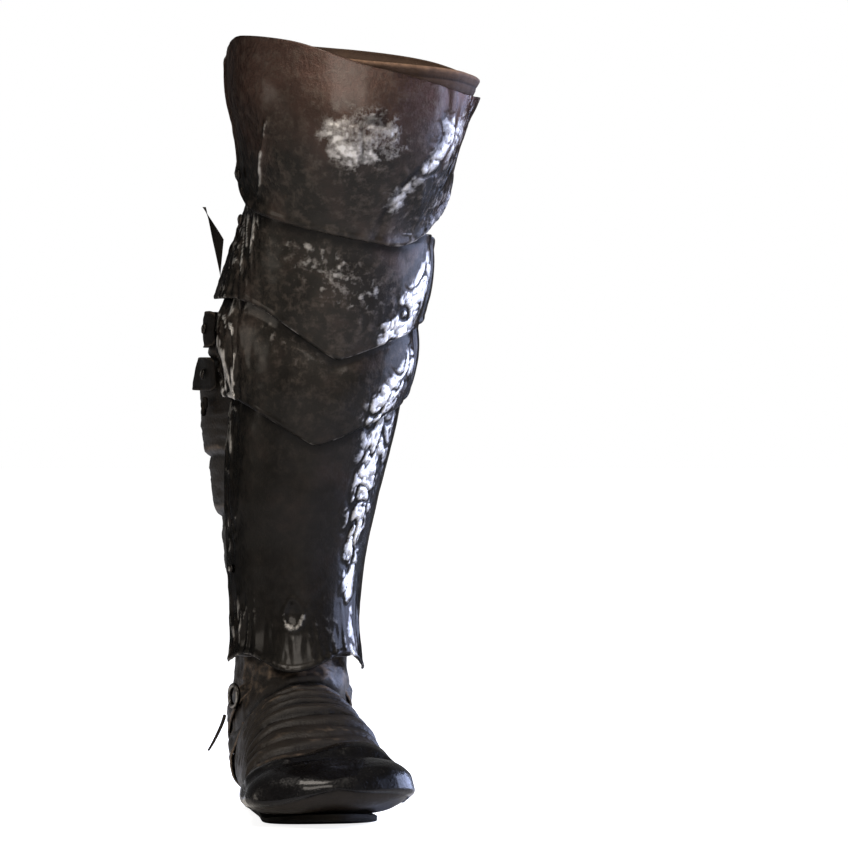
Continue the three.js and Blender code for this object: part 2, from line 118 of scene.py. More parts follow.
# %% [markdown]
# ## Chance that repeats
#
# Hammer marks and creases look irregular, but a script has to give the same shape on each run.
# So each pattern comes from a lattice of random numbers with a fixed seed. Blended smoothly it
# gives soft unevenness, and folded about zero it gives sharp creases, as in crumpled leather.
# %% Noise

LATTICE = 32


def unevenness(points, cell, seed):
    """From -1 to 1: random values on a lattice, cell millimetres apart, blended by smooth steps."""
    values = np.random.default_rng(seed).uniform(-1, 1, (LATTICE,) * 3)
    scaled = points / np.asarray(cell, float)
    low = np.floor(scaled).astype(int)
    t = smooth_step(scaled - low)
    total = 0
    for corner in itertools.product((0, 1), repeat=3):
        weight = np.prod(np.where(corner, t, 1 - t), axis=-1)
        i, j, k = np.moveaxis((low + corner) % LATTICE, -1, 0)
        total = total + weight * values[i, j, k]
    return total


def crumple(points, cell, seed, octaves=3):
    """About -1 to 1 with sharp ridges: one minus three times the unevenness's size, at halved cells."""
    cell = np.asarray(cell, float)
    bend = 0.35 * np.stack([unevenness(points, cell * 1.7, seed + 50 + k) for k in range(3)], axis=-1)
    bent = points + bend * cell
    layers = [0.5**k * (1 - 3 * np.abs(unevenness(bent, cell / 2**k, seed + k))) for k in range(octaves)]
    return sum(layers) / 1.4


def flakes(points, cell, seed):
    """0 along cracks and 1 on the flakes between them: the size of the unevenness at two scales."""
    cell = np.asarray(cell, float)
    bend = np.stack([unevenness(points, cell * 1.5, seed + 60 + k) for k in range(3)], axis=-1)
    bent = points + 0.5 * bend * cell
    coarse = between(np.abs(unevenness(bent, cell, seed)), 0.03, 0.24)
    fine = between(np.abs(unevenness(bent, 0.42 * cell, seed + 1)), 0.02, 0.26)
    return coarse * (0.4 + 0.6 * fine)


print("noise repeats:", np.round(unevenness(np.ones((1, 3)), 5, 1), 4))

# %% [markdown]
# ## From a grid of points to a mesh
#
# Sheet iron and leather have two skins and a rounded edge between them. Both skins are grids over
# the same two parameters, so a wall is two grids that share their edge points. Near an edge the
# two skins close up along a half circle, which makes the rounding real geometry.
# %% Meshes

MM = 0.001


def quads_of(index):
    """The four corners of each cell of a grid of point numbers."""
    return np.stack([index[:-1, :-1], index[:-1, 1:], index[1:, 1:], index[1:, :-1]], axis=-1).reshape(-1, 4)


def mesh_piece(name, points, quads, material, marks):
    """One closed mesh, in millimetres, with its faces turned outwards by the sign of its volume."""
    a, b, c, d = (points[quads[:, k]] for k in range(4))
    volume = np.einsum("ij,ij->", a, np.cross(b, c)) + np.einsum("ij,ij->", a, np.cross(c, d))
    if volume < 0:
        quads = quads[:, ::-1]
    mesh = bpy.data.meshes.new(name)
    mesh.vertices.add(len(points))
    mesh.vertices.foreach_set("co", (points * MM).astype(np.float32).ravel())
    mesh.loops.add(quads.size)
    mesh.loops.foreach_set("vertex_index", quads.astype(np.int32).ravel())
    mesh.polygons.add(len(quads))
    mesh.polygons.foreach_set("loop_start", np.arange(0, quads.size, 4, dtype=np.int32))
    mesh.update(calc_edges=True)
    for mark, values in marks.items():
        layer = mesh.attributes.new(mark, "FLOAT", "POINT")
        layer.data.foreach_set("value", np.clip(values, 0, 1).astype(np.float32).ravel())
    welded = bmesh.new()
    welded.from_mesh(mesh)
    bmesh.ops.remove_doubles(welded, verts=welded.verts, dist=2e-6)
    bmesh.ops.delete(welded, geom=[v for v in welded.verts if not v.link_faces], context="VERTS")
    welded.to_mesh(mesh)
    open_edges = sum(not e.is_manifold for e in welded.edges)
    welded.free()
    mesh.polygons.foreach_set("use_smooth", np.ones(len(mesh.polygons), bool))
    mesh.materials.append(material)
    made = bpy.data.objects.new(name, mesh)
    bpy.context.scene.collection.objects.link(made)
    triangles = sum(len(p.vertices) - 2 for p in mesh.polygons)
    volume = abs(volume) / 6 / 1000
    print(f"{name}: {triangles} triangles, {open_edges} open edges, {volume:.1f} cm3")
    return made


def wall(name, place, middle, half, material, marks, closed=False, pole=False):
    """Two skins, half a thickness to both sides of a middle offset, as one wall.

    place gives the points at an offset. The skins share their edge points, except round a pole.
    """
    outer, inner = place(middle + half), place(middle - half)
    rows, columns = outer.shape[:2]
    outside = np.arange(rows * columns).reshape(rows, columns)
    inside = outside + rows * columns
    inside[-1] = outside[-1]
    if not pole:
        inside[0] = outside[0]
    if closed:
        outside, inside = (np.hstack([index, index[:, :1]]) for index in (outside, inside))
    else:
        inside[:, 0], inside[:, -1] = outside[:, 0], outside[:, -1]
    quads = np.concatenate([quads_of(outside), quads_of(inside)[:, ::-1]])
    points = np.concatenate([outer.reshape(-1, 3), inner.reshape(-1, 3)])
    both = {k: np.concatenate([v.ravel(), 0 * v.ravel()]) for k, v in marks.items()}
    return mesh_piece(name, points, quads, material, both)


def tube(name, grid, material, marks, ring=False):
    """A grid closed round its columns. Its ends are poles, unless it is a ring that meets itself."""
    rows, columns = grid.shape[:2]
    index = np.arange(rows * columns).reshape(rows, columns)
    index = np.hstack([index, index[:, :1]])
    if ring:
        index = np.vstack([index, index[:1]])
    return mesh_piece(name, grid.reshape(-1, 3), quads_of(index), material, marks)


def rounded_half(thick, from_edge):
    """Half a wall's thickness, which closes up along a quarter circle towards the edge."""
    return 0.5 * thick * quarter_round(from_edge / (0.5 * thick))


def steps(length, thick, step):
    """Parameters from 0 to 1 along an edge: close together over each end's rounding, then even."""
    near = 0.5 * thick * np.array([0, 0.08, 0.3, 0.6])
    middle = np.linspace(0.5 * thick, length - 0.5 * thick, max(2, round(length / step)))
    return np.concatenate([near, middle, length - near[::-1]]) / length


print("steps along 10 mm:", np.round(steps(10, 2, 3) * 10, 2))

# %% [markdown]
# ## Guide surfaces
#
# The leg is a tube of level sections, and the foot a tube that turns the corner at the ankle. All
# pieces lie on one of the two, so a piece is written as an angle, a height and a distance
# outwards. These are the same formulas and millimetres as in the CAD, so everything fits.
# %% The leg

LEG_STATIONS = np.array([
    [100, 0, -66, 61, 46], [115, 0, -62, 61, 46], [150, 0, -57, 62, 46], [197, 1, -58, 63, 50],
    [235, 4, -65, 64, 55], [281, 10, -71, 65, 60], [335, 17, -80, 65, 62], [394, 24, -89, 62, 62.5],
    [430, 28, -99, 51, 62], [463, 31, -118, 30, 62], [490, 32, -130, 14, 66], [515, 33, -136, 5, 73],
    [535, 35, -138, 2, 81], [553, 36.5, -138, 1, 84.5], [600, 37, -136, 3, 86],
])
leg_curves = [curve_through(LEG_STATIONS[:, [0, k]]) for k in (1, 2, 3, 4)]


def leg_point(angle, z, offset):
    """A point of the leg's rounded section at height z, at an angle from the front to the inside."""
    centre, front, back, half_width = (curve(z) for curve in leg_curves)
    half_depth = (back - front) / 2
    x = centre + (half_width + offset) * signed_power(np.sin(angle), 2 / 2.2)
    y = (back + front) / 2 - (half_depth + offset) * signed_power(np.cos(angle), 2 / 2.2)
    return np.stack(np.broadcast_arrays(x, y, z), axis=-1)


def swell(angle, z):
    """How far the leather bulges behind the plates' outer edge: a bell in angle and in height."""
    turned = np.where(angle > np.pi / 2, angle - 2 * np.pi, angle)
    fall = np.where(z > 325, 60, 90)
    return 27 * bell((turned + np.radians(120)) / np.radians(26)) * bell((z - 325) / fall)


def outer_flare(angle, z):
    """How far the lames' outer ends, and the straps on them, stand off the leg."""
    turned = np.where(angle > np.pi, angle - 2 * np.pi, angle)
    return 13 * smooth_step((-turned - np.radians(48)) / np.radians(44)) * bell((z - 372) / 38)


def behind(angle):
    """0 at the front of the leg and 1 at its back."""
    return 0.5 - 0.5 * np.cos(angle)


def outwards_of(surface, a, b):
    """A surface's unit normal from its differences in both parameters."""
    along = surface(a + 0.01, b) - surface(a - 0.01, b)
    up = surface(a, b + 0.5) - surface(a, b - 0.5)
    normal = np.cross(along, up)
    return normal / np.linalg.norm(normal, axis=-1, keepdims=True)


print("front of the shin at 200 mm:", np.round(leg_point(0.0, 200.0, 0.0), 1))

# %% The foot

TOE_Y, HEEL_Y, PIVOT_Y, PIVOT_Z, SOLE_THICK = -217, 62, -95, 135, 6
FAN_END = np.radians(84)
foot_top = curve_through([[-217, 38], [-190, 45], [-165, 48], [-145, 55], [-120, 67], [-95, 85]])
foot_width = curve_through([[-217, 55.5], [-185, 57.5], [-160, 56.5], [-120, 55.5], [-95, 52]])
foot_shift = curve_through([[-217, -7.5], [-160, -6.5], [-120, -4], [-95, -2.5], [-40, -1.5], [0, 0]])
fan_near = curve_through([[0, 50], [25, 46], [45, 47], [65, 45], [90, 43]])
fan_width = curve_through([[0, 52], [25, 48], [50, 43], [66, 43.5], [72, 42.5], [84, 40.5]])
sole_width = curve_through([[-222, 38], [-160, 45], [-120, 43], [-60, 38], [0, 34], [62, 31]])


def toe_spring(y):
    """How far the toe end curls up off the floor."""
    return 6 * smooth_step((-140 - y) / 77)


def toe_twist(across, y):
    """How much higher the toe stands on its inner side."""
    return 8 * smooth_step((-150 - y) / 60) * smooth_step(across / 52)


def foot_skin(station, angle):
    """Stations 0 to 1 are upright sections from the toe back; 1 to 2 fan about a line at the ankle."""
    y = TOE_Y + (PIVOT_Y - TOE_Y) * (1 - np.cos(np.clip(station, 0, 1) * np.pi / 2))
    back = y - TOE_Y
    middle = 26 + 0.8 * toe_spring(y)
    top = mix(middle, foot_top(y), quarter_round(back / 24))
    bottom = mix(middle, SOLE_THICK + 0.5 + toe_spring(y), quarter_round(back / 20))
    turn = (np.clip(station, 1, 2.1) - 1) * FAN_END
    down = np.cos(turn) / (PIVOT_Z - SOLE_THICK - 0.5)
    rear = np.sin(turn) / (HEEL_Y - 4 - PIVOT_Y)
    reach = (np.abs(down) ** 7 + rear**7) ** (-1 / 7)
    near = fan_near(np.degrees(turn))
    fanned = station > 1
    squareness = np.where(np.cos(angle) > 0, 2 / 2.5, 2 / 3.6)
    depth_power = np.where(fanned, mix(squareness, 2 / 2.15, station - 1), squareness)
    width = np.where(fanned, fan_width(np.degrees(turn)), foot_width(y) * quarter_round(back / 32))
    shift = np.where(fanned, foot_shift(PIVOT_Y + (station - 1) * 95), foot_shift(y))
    flat = np.where(fanned, 0.1 * (2 - station), 0.1)
    depth = -signed_power(np.cos(angle), depth_power)
    across = width * (1 + flat * depth) * signed_power(np.sin(angle), depth_power)
    down_share = 0.5 + 0.5 * depth
    fan_y = PIVOT_Y + mix(near, reach, down_share) * np.sin(turn)
    fan_z = PIVOT_Z - mix(near, reach, down_share) * np.cos(turn)
    y_there = np.where(fanned, fan_y, y)
    z_there = np.where(fanned, fan_z, mix(top, bottom, down_share)) + toe_twist(across, y_there)
    return np.stack(np.broadcast_arrays(shift + across, y_there, z_there), axis=-1)


def foot_point(station, angle, offset):
    """A point of the foot, pushed out along the surface's own normal."""
    safe = np.maximum(station, 0.03)
    round_ = foot_skin(safe, angle + 0.02) - foot_skin(safe, angle - 0.02)
    along = foot_skin(safe + 0.01, angle) - foot_skin(safe - 0.01, angle)
    normal = np.cross(round_, along)
    normal /= np.linalg.norm(normal, axis=-1, keepdims=True)
    offset = np.broadcast_to(offset, normal.shape[:-1])[..., None]
    tip = foot_skin(np.zeros(()), np.zeros(())) - offset * np.array([0, 1.0, 0])
    return np.where((station < safe)[..., None], tip, foot_skin(safe, angle) + offset * normal)


print("toe tip:", np.round(foot_point(np.zeros(1), np.zeros(1), 0.0), 1))

# %% [markdown]
# ## Materials
#
# The plates were made of sheet iron, hammered to shape, heated and quenched in oil. That leaves a
# thin black-brown oxide: a hard, slightly glossy, uneven coat, which wears back to bright iron on
# ridges and rims. The boot is oiled leather with a pebbled grain, rubbed paler on its folds.
# One small function adds any node, so a material reads as a list of what it is made of.
# %% Colours and nodes


def srgb(hex_colour):
    """A linear colour from six hex digits: each channel through the sRGB curve."""
    channels = [int(hex_colour[i : i + 2], 16) / 255 for i in (0, 2, 4)]
    return [c / 12.92 if c <= 0.04045 else ((c + 0.055) / 1.055) ** 2.4 for c in channels] + [1.0]


def add(tree, kind, inputs=(), **settings):
    """Adds a node, sets its properties, and links or sets its inputs. It returns the node."""
    made = tree.nodes.new("ShaderNode" + kind)
    for key, value in settings.items():
        setattr(made, key, value)
    for key, value in dict(inputs).items():
        if isinstance(value, bpy.types.NodeSocket):
            tree.links.new(value, made.inputs[key])
        else:
            made.inputs[key].default_value = value
    return made


def new_material(name):
    """An empty material, its node tree, and the socket with the place on the object."""
    made = bpy.data.materials.new(name)
    made.use_nodes = True
    made.node_tree.nodes.clear()
    place = add(made.node_tree, "TexCoord").outputs["Object"]
    return made, made.node_tree, place


def per_mm(size):
    """A texture's scale for a pattern of that size, because the object is in metres."""
    return 1000 / size


print("mid grey in linear light:", [round(c, 3) for c in srgb("808080")])

# %% [markdown]
# ### Blackened iron
#
# Black oxide on iron is darker than paint and reflects like a dark metal. Above the knee the heat left it
# red-brown; lower down the colour is painted darker and less flecked, a painted shade for the light that
# falls off downwards. The wear mask is drawn by each plate's own shape: high on rims and where it was
# struck, and as painted highlight where the inner softbox is mirrored; a noise breaks it into flakes.
# %% Blackened iron


def iron(name, dark, warm, bright, rough):
    """Oil-blackened iron: dark oxide with a warm bloom, scratches, pits, bright flakes of wear and painted
    highlight, and painted shade.
    """
    made, tree, place = new_material(name)
    height = add(tree, "SeparateXYZ", {"Vector": place}).outputs["Z"]
    cloud = add(tree, "TexNoise", {"Vector": place, "Scale": per_mm(38), "Detail": 5, "Roughness": 0.62})
    mottle = add(tree, "TexNoise", {"Vector": place, "Scale": per_mm(7), "Detail": 6, "Roughness": 0.7})
    pits = add(tree, "TexNoise", {"Vector": place, "Scale": per_mm(1.7), "Detail": 3, "Roughness": 0.6})
    drawn = add(tree, "Mapping", {"Vector": place, "Rotation": (0.1, 0.25, 0), "Scale": (1, 1, 0.07)})
    strokes = add(tree, "TexNoise", {"Vector": drawn.outputs[0], "Scale": per_mm(1.4), "Detail": 2})
    # The first mask paints bright iron for wear and for painted highlights. The second paints it dark for
    # grime and for painted shade in creases and under laps.
    wear_and_glint = add(tree, "Attribute", attribute_name="wear_and_glint").outputs["Fac"]
    grime_and_shade = add(tree, "Attribute", attribute_name="grime_and_shade").outputs["Fac"]

    rise = add(tree, "MapRange", {"Value": height, "From Min": 0.47, "From Max": 0.57}).outputs[0]
    patchy = add(tree, "Math", {0: cloud.outputs[0], 1: 0.9}, operation="MULTIPLY").outputs[0]
    warmth = add(tree, "Math", {0: rise, 1: 0.62, 2: patchy}, operation="MULTIPLY_ADD").outputs[0]
    warmth = add(tree, "MapRange", {"Value": warmth, "From Min": 0.48, "From Max": 0.95}).outputs[0]
    clouded = {"Value": cloud.outputs[0], "From Min": 0.32, "From Max": 0.66}
    clouded = add(tree, "MapRange", clouded).outputs[0]
    soot = [0.5 * c for c in srgb(dark)[:3]] + [1.0]
    oxide = add(tree, "Mix", {0: clouded, 6: soot, 7: srgb(dark)}, data_type="RGBA").outputs[2]
    oxide = add(tree, "Mix", {0: warmth, 6: oxide, 7: srgb(warm)}, data_type="RGBA").outputs[2]
    speck = add(tree, "MapRange", {"Value": mottle.outputs[0], "From Min": 0.48, "From Max": 0.72}).outputs[0]
    # Painted shade: the pale flecks thin out and the colour is painted darker towards the bottom of the leg,
    # for the light that falls off downwards.
    painted_light_falloff = add(tree, "MapRange", {"Value": height, "From Min": 0.25, "From Max": 0.36}).outputs[0]
    painted_light_falloff = add(tree, "Math", {0: painted_light_falloff, 1: 0.5, 2: 0.2}, operation="MULTIPLY_ADD").outputs[0]
    speck = add(tree, "Math", {0: speck, 1: painted_light_falloff}, operation="MULTIPLY").outputs[0]
    oxide = add(tree, "Mix", {0: speck, 6: oxide, 7: srgb("463f39")}, data_type="RGBA").outputs[2]
    painted_low_shade = {"From Min": 0.24, "From Max": 0.37, "To Min": 0.6, "To Max": 0.0}
    painted_low_shade = add(tree, "MapRange", {"Value": height, **painted_low_shade}).outputs[0]
    oxide = add(tree, "Mix", {0: painted_low_shade, 6: oxide, 7: srgb("0b0a09")}, data_type="RGBA").outputs[2]

    ragged = add(tree, "Math", {0: mottle.outputs[0], 1: 1.5, 2: -0.75}, operation="MULTIPLY_ADD").outputs[0]
    ragged = add(tree, "Math", {0: ragged, 1: 1.0, 2: wear_and_glint}, operation="MULTIPLY_ADD").outputs[0]
    bare = add(tree, "MapRange", {"Value": ragged, "From Min": 0.14, "From Max": 0.9}).outputs[0]
    shown = add(tree, "MapRange", {"Value": wear_and_glint, "From Min": 0.02, "From Max": 0.2}).outputs[0]
    bare = add(tree, "Math", {0: bare, 1: shown}, operation="MULTIPLY").outputs[0]
    colour = add(tree, "Mix", {0: bare, 6: oxide, 7: srgb(bright)}, data_type="RGBA").outputs[2]
    colour = add(tree, "Mix", {0: grime_and_shade, 6: colour, 7: srgb("0a0908")}, data_type="RGBA").outputs[2]

    gloss = {"From Min": 0.3, "From Max": 0.7, "To Min": rough - 0.08, "To Max": rough + 0.14}
    gloss = add(tree, "MapRange", {"Value": mottle.outputs[0], **gloss}).outputs[0]
    scuffed = {"Value": strokes.outputs[0], "From Min": 0.55, "From Max": 0.75}
    scuffed = add(tree, "MapRange", scuffed).outputs[0]
    gloss = add(tree, "Math", {0: scuffed, 1: 0.12, 2: gloss}, operation="MULTIPLY_ADD").outputs[0]

    coarse = {"Height": mottle.outputs[0], "Strength": 0.8, "Distance": 1.2 * MM}
    coarse = add(tree, "Bump", coarse).outputs[0]
    lines = {"Height": strokes.outputs[0], "Strength": 0.25, "Distance": 0.3 * MM, "Normal": coarse}
    lines = add(tree, "Bump", lines).outputs[0]
    fine = {"Height": pits.outputs[0], "Strength": 0.5, "Distance": 0.4 * MM, "Normal": lines}
    fine = add(tree, "Bump", fine).outputs[0]
    gloss = add(tree, "Math", {0: bare, 1: -0.14, 2: gloss}, operation="MULTIPLY_ADD").outputs[0]
    shader = add(
        tree, "BsdfPrincipled",
        {"Base Color": colour, "Metallic": 1.0, "Roughness": gloss, "Normal": fine,
         "Specular Tint": srgb("8f8a86"), "Coat Weight": 0.12, "Coat Roughness": 0.2, "Coat IOR": 1.5},
    )
    add(tree, "OutputMaterial", {"Surface": shader.outputs[0]})
    return made


black_iron = iron("Oil-blackened hammered sheet iron", "23211e", "382b26", "a8a5a0", 0.42)
fitting_iron = iron("Forged iron of the buckle and rivets", "24211e", "2e2722", "a3a09b", 0.34)
print("iron:", black_iron.name, "and", fitting_iron.name)

# %% [markdown]
# ### Leathers
#
# Oil-tanned hide is dull, with a grain of small pebbles that stretches out on the folds. Where it
# is rubbed it turns paler, and the crests of the boot's folds are painted paler as painted highlight;
# its creases are painted darker as painted shade. The same recipe makes all five
# leathers, with other colours, gloss and grain: the toe was waxed and polished, the cuff is raw.
# %% Leathers


def leather(name, hide, rub_and_highlight, creased, rough, grain_mm, shine, wax=0.0):
    """Tanned hide: two tones in clouds, paler where rubbed and as painted highlight, darker in creases as
    painted shade, pebbled.
    """
    made, tree, place = new_material(name)
    cloud = add(tree, "TexNoise", {"Vector": place, "Scale": per_mm(30), "Detail": 6, "Roughness": 0.65})
    warp = add(tree, "TexNoise", {"Vector": place, "Scale": per_mm(4), "Detail": 3})
    pebbles = add(tree, "TexVoronoi", {"Vector": place, "Scale": per_mm(grain_mm), "Randomness": 1.0},
                  feature="SMOOTH_F1")
    cracks = add(tree, "TexNoise", {"Vector": place, "Scale": per_mm(9), "Detail": 7, "Roughness": 0.72})
    # The first mask paints paler leather where it is rubbed and as painted highlight; the second paints
    # darker leather in creases as painted shade.
    rub = add(tree, "Attribute", attribute_name="rub_and_highlight").outputs["Fac"]
    fold = add(tree, "Attribute", attribute_name="creased").outputs["Fac"]

    tone = add(tree, "MapRange", {"Value": cloud.outputs[0], "From Min": 0.35, "From Max": 0.7}).outputs[0]
    deep = [0.55 * c for c in srgb(hide)[:3]] + [1.0]
    colour = add(tree, "Mix", {0: tone, 6: deep, 7: srgb(hide)}, data_type="RGBA").outputs[2]
    patch = add(tree, "Math", {0: warp.outputs[0], 1: rub}, operation="MULTIPLY").outputs[0]
    patch = add(tree, "MapRange", {"Value": patch, "From Min": 0.12, "From Max": 0.6}).outputs[0]
    colour = add(tree, "Mix", {0: patch, 6: colour, 7: srgb(rub_and_highlight)}, data_type="RGBA").outputs[2]
    colour = add(tree, "Mix", {0: fold, 6: colour, 7: srgb(creased)}, data_type="RGBA").outputs[2]

    dull = {"From Min": 0.3, "From Max": 0.7, "To Min": rough - 0.08, "To Max": rough + 0.1}
    dull = add(tree, "MapRange", {"Value": cracks.outputs[0], **dull}).outputs[0]
    split = {"Height": cracks.outputs[0], "Strength": 0.5, "Distance": 1.2 * MM}
    split = add(tree, "Bump", split).outputs[0]
    grain = {"Height": pebbles.outputs["Distance"], "Strength": 0.45, "Distance": 0.5 * MM, "Normal": split}
    grain = add(tree, "Bump", grain, invert=True).outputs[0]
    shader = add(
        tree, "BsdfPrincipled",
        {"Base Color": colour, "Roughness": dull, "Normal": grain, "IOR": 1.38, "Specular IOR Level": shine,
         "Coat Weight": wax, "Coat Roughness": 0.08, "Coat IOR": 1.5},
    )
    add(tree, "OutputMaterial", {"Surface": shader.outputs[0]})
    return made


boot_leather = leather("Oil-tanned boot leather", "1a1612", "5a4d40", "040302", 0.46, 1.5, 0.16)
cuff_leather = leather("Brown undyed cuff leather", "3c2f26", "5e4a3b", "130d09", 0.7, 1.3, 0.06)
strap_leather = leather("Dark strap leather", "0f0d0b", "231e19", "050403", 0.62, 1.2, 0.05)
toe_leather = leather(
    "Waxed and polished toe leather", "050404", "14110e", "020202", 0.25, 1.8, 0.12, wax=0.15
)
sole_leather = leather("Scuffed sole leather", "080705", "17130f", "040302", 0.7, 1.0, 0.05)
print("leathers made: 5")

# %% [markdown]
# ## Plates
#
# A plate could be a subdivided box, but a hammered plate is easier to say as a height over the
# leg: its edge lines give its outline, and its relief is a sum of the smith's marks. Each plate
# is a rounded wall 1.6 mm thick that covers angles from its outer edge to its inner edge.
# %% Plates

IRON = 1.6


def plate(name, start, end, bottom, top, offset, relief, wear, radius, step=1.35):
    """A wall over the leg between two edge lines; relief and wear are functions of the place."""
    width = np.radians(end - start) * radius
    across = np.radians(np.linspace(start, end, 40))
    height = float(np.max(top(across) - bottom(across)))
    u, v = np.meshgrid(steps(width, IRON, step), steps(height, IRON, step))
    angle = mix(np.radians(start), np.radians(end), u)
    low, high = bottom(angle), top(angle)
    z = mix(low, high, v)
    side = inset(u, width)
    edge = np.minimum(side, inset(v, high - low))
    base = offset(angle, z, v)
    points = leg_point(angle, z, base)
    raised = relief(points, np.degrees(angle), z, side, v * (high - low))
    wear_and_glint, grime_and_shade = wear(points, np.degrees(angle), z, edge)
    return wall(
        name, lambda lift: leg_point(angle, z, lift), base + raised - 0.5 * IRON,
        rounded_half(IRON, edge), black_iron, {"wear_and_glint": wear_and_glint, "grime_and_shade": grime_and_shade},
    )


def hammered(points, seed):
    """Unevenness left by the hammer: broad, medium and small."""
    broad = 0.9 * unevenness(points, 42, seed)
    medium = 0.4 * unevenness(points, 17, seed + 1)
    return broad + medium + 0.14 * unevenness(points, 6, seed + 2)


def band(value, low, high, soft):
    """1 between low and high, with soft ends."""
    return smooth_step((value - low) / soft + 0.5) * smooth_step((high - value) / soft + 0.5)


def streaks(points, seed):
    """Long upright folds: crumpling in cells nearly four times as tall as they are wide."""
    return crumple(points, (6, 6, 22), seed, 2)


def folded_end(points, degrees, start, seed):
    """Long folds at a plate's outer end, in patches, as amounts from -1 to 1."""
    patches = 0.25 + 0.75 * between(unevenness(points, 30, seed + 7), -0.35, 0.35)
    return between(-degrees, start, start + 20) * patches * streaks(points, seed)


def painted_lap_shadow(degrees, z, lap):
    """A painted shadow on a plate just under the edge line of the plate that laps over it."""
    return 0.85 * bell((z - lap(np.radians(degrees)) + 1.5) / 4.5)


def rim_wear(points, edge, seed):
    """Bright iron along an edge, broken up by unevenness."""
    return (0.16 + 0.3 * unevenness(points, 14, seed)) * bell(edge / 1.1)


print("a hammered plate rises and falls by up to 1.4 mm")

# %% [markdown]
# ### Knee plate
#
# The largest plate wraps the front of the knee and ends in a wing on the inner side. Its middle
# was struck from inside, so it has a low boss whose oxide has flaked. A crease splits off a flat
# facet towards the wing, with a thumb-sized dimple, and the outer edge is flared and rolled.
# %% Knee plate

deg = np.radians


def knee_bottom(angle):
    """A tip towards the inner side; it rises slowly outwards and steeply up to the wing."""
    inwards = 425 + 86 * np.clip((angle - deg(25)) / deg(87), 0, None) ** 1.6
    corner = 26 * (1 - quarter_round((angle + deg(98)) / deg(30)))
    outwards = 425 + 36 * np.clip((deg(18) - angle) / deg(116), 0, None) ** 1.15 + corner
    return np.where(angle > deg(18), inwards, outwards)


def knee_top(angle):
    """The top edge falls from the outer side to the inner side, arched, with rounded corners."""
    corners = 24 * (1 - quarter_round((angle + deg(98)) / deg(26)))
    corners = corners + 8 * (1 - quarter_round((deg(112) - angle) / deg(12)))
    scoop = 7 * between(angle, deg(-40), deg(5)) * (1 - 0.5 * between(angle, deg(40), deg(90)))
    arch = 7 * bell((angle + deg(35)) / deg(60))
    return 559.5 - 18.5 * np.sin(angle + deg(10)) + arch - scoop - corners


def knee_offset(angle, z, v):
    """Distance from the leg: a dome, the boss on it, and a small flare at the lower edge."""
    dome = 13 + 3 * bell((z - 490) / 40)
    boss = 4.5 * bell((angle + deg(9)) / deg(34)) * bell((z - 512) / 34)
    return dome + boss + 1.5 * (1 - smooth_step(v / 0.1))


facet_line = curve_through([[425, 8], [447, 11.5], [465, 17], [488, 32], [507, 41], [518, 37], [545, 33]])


def boss_patch(degrees, z):
    """1 over the flaked boss, an oval 60 mm wide, and 0 outside."""
    ragged = 0.3 * np.sin(degrees / 5 + z / 9) + 0.25 * np.sin(degrees / 2.3 - z / 4)
    return between(-np.hypot((degrees + 5) / 17, (z - 504) / 19) + 0.5 * ragged, -1.3, -0.55)


def gouges(degrees, z, width):
    """1 along two slanted gouges beside the plate's outer edge."""
    upper = bell((degrees + 56 + (515 - z) * 0.3) / width) * band(z, 478, 517, 10)
    return upper + bell((degrees + 64 + (490 - z) * 0.15) / width) * band(z, 462, 494, 10)


def facet_glint(degrees, z):
    """1 on the battered ridge inside the facet's crease, from the wing down to the dimple; it also places a
    painted highlight there, where the inner softbox is mirrored.
    """
    middle = facet_line(z) + 3 + 5 * between(z, 470, 500)
    return bell((degrees - middle) / (6 + 5 * between(z, 475, 500))) * band(z, 450, 520, 16)


def knee_relief(points, degrees, z, side, from_bottom):
    """Hammering, the facet and its dimple, flaked metal at the boss and inner side, rolled rims."""
    past = degrees - facet_line(z)
    facet = -1.3 * bell(past / 3.2) - 2.4 * between(past, 0, 26) * (1 - between(past, 40, 60))
    dimple = np.hypot((degrees - 25) / 8.5, (z - 456) / 15)
    facet = facet - 2.6 * bell(dimple) + 0.9 * bell((dimple - 1.3) / 0.3) * (z > 456)
    battered = 0.6 * boss_patch(degrees, z) * (flakes(points, 13, 5) - 0.6)
    inner = band(degrees, 34, 80, 16) + facet_glint(degrees, z)
    inner = 0.9 * inner * (flakes(points, (16, 16, 22), 8) - 0.5)
    outer = 0.9 * gouges(degrees, z, 1.5) + 0.25 * between(-degrees, 62, 82) * streaks(points, 12)
    rolled = 1.5 * bell((side - 2.6) / 2.0) + 0.8 * bell((from_bottom - 2.4) / 1.8)
    return hammered(points, 1) + facet + battered + inner + outer + rolled - 0.3 * bell((side - 6) / 2)


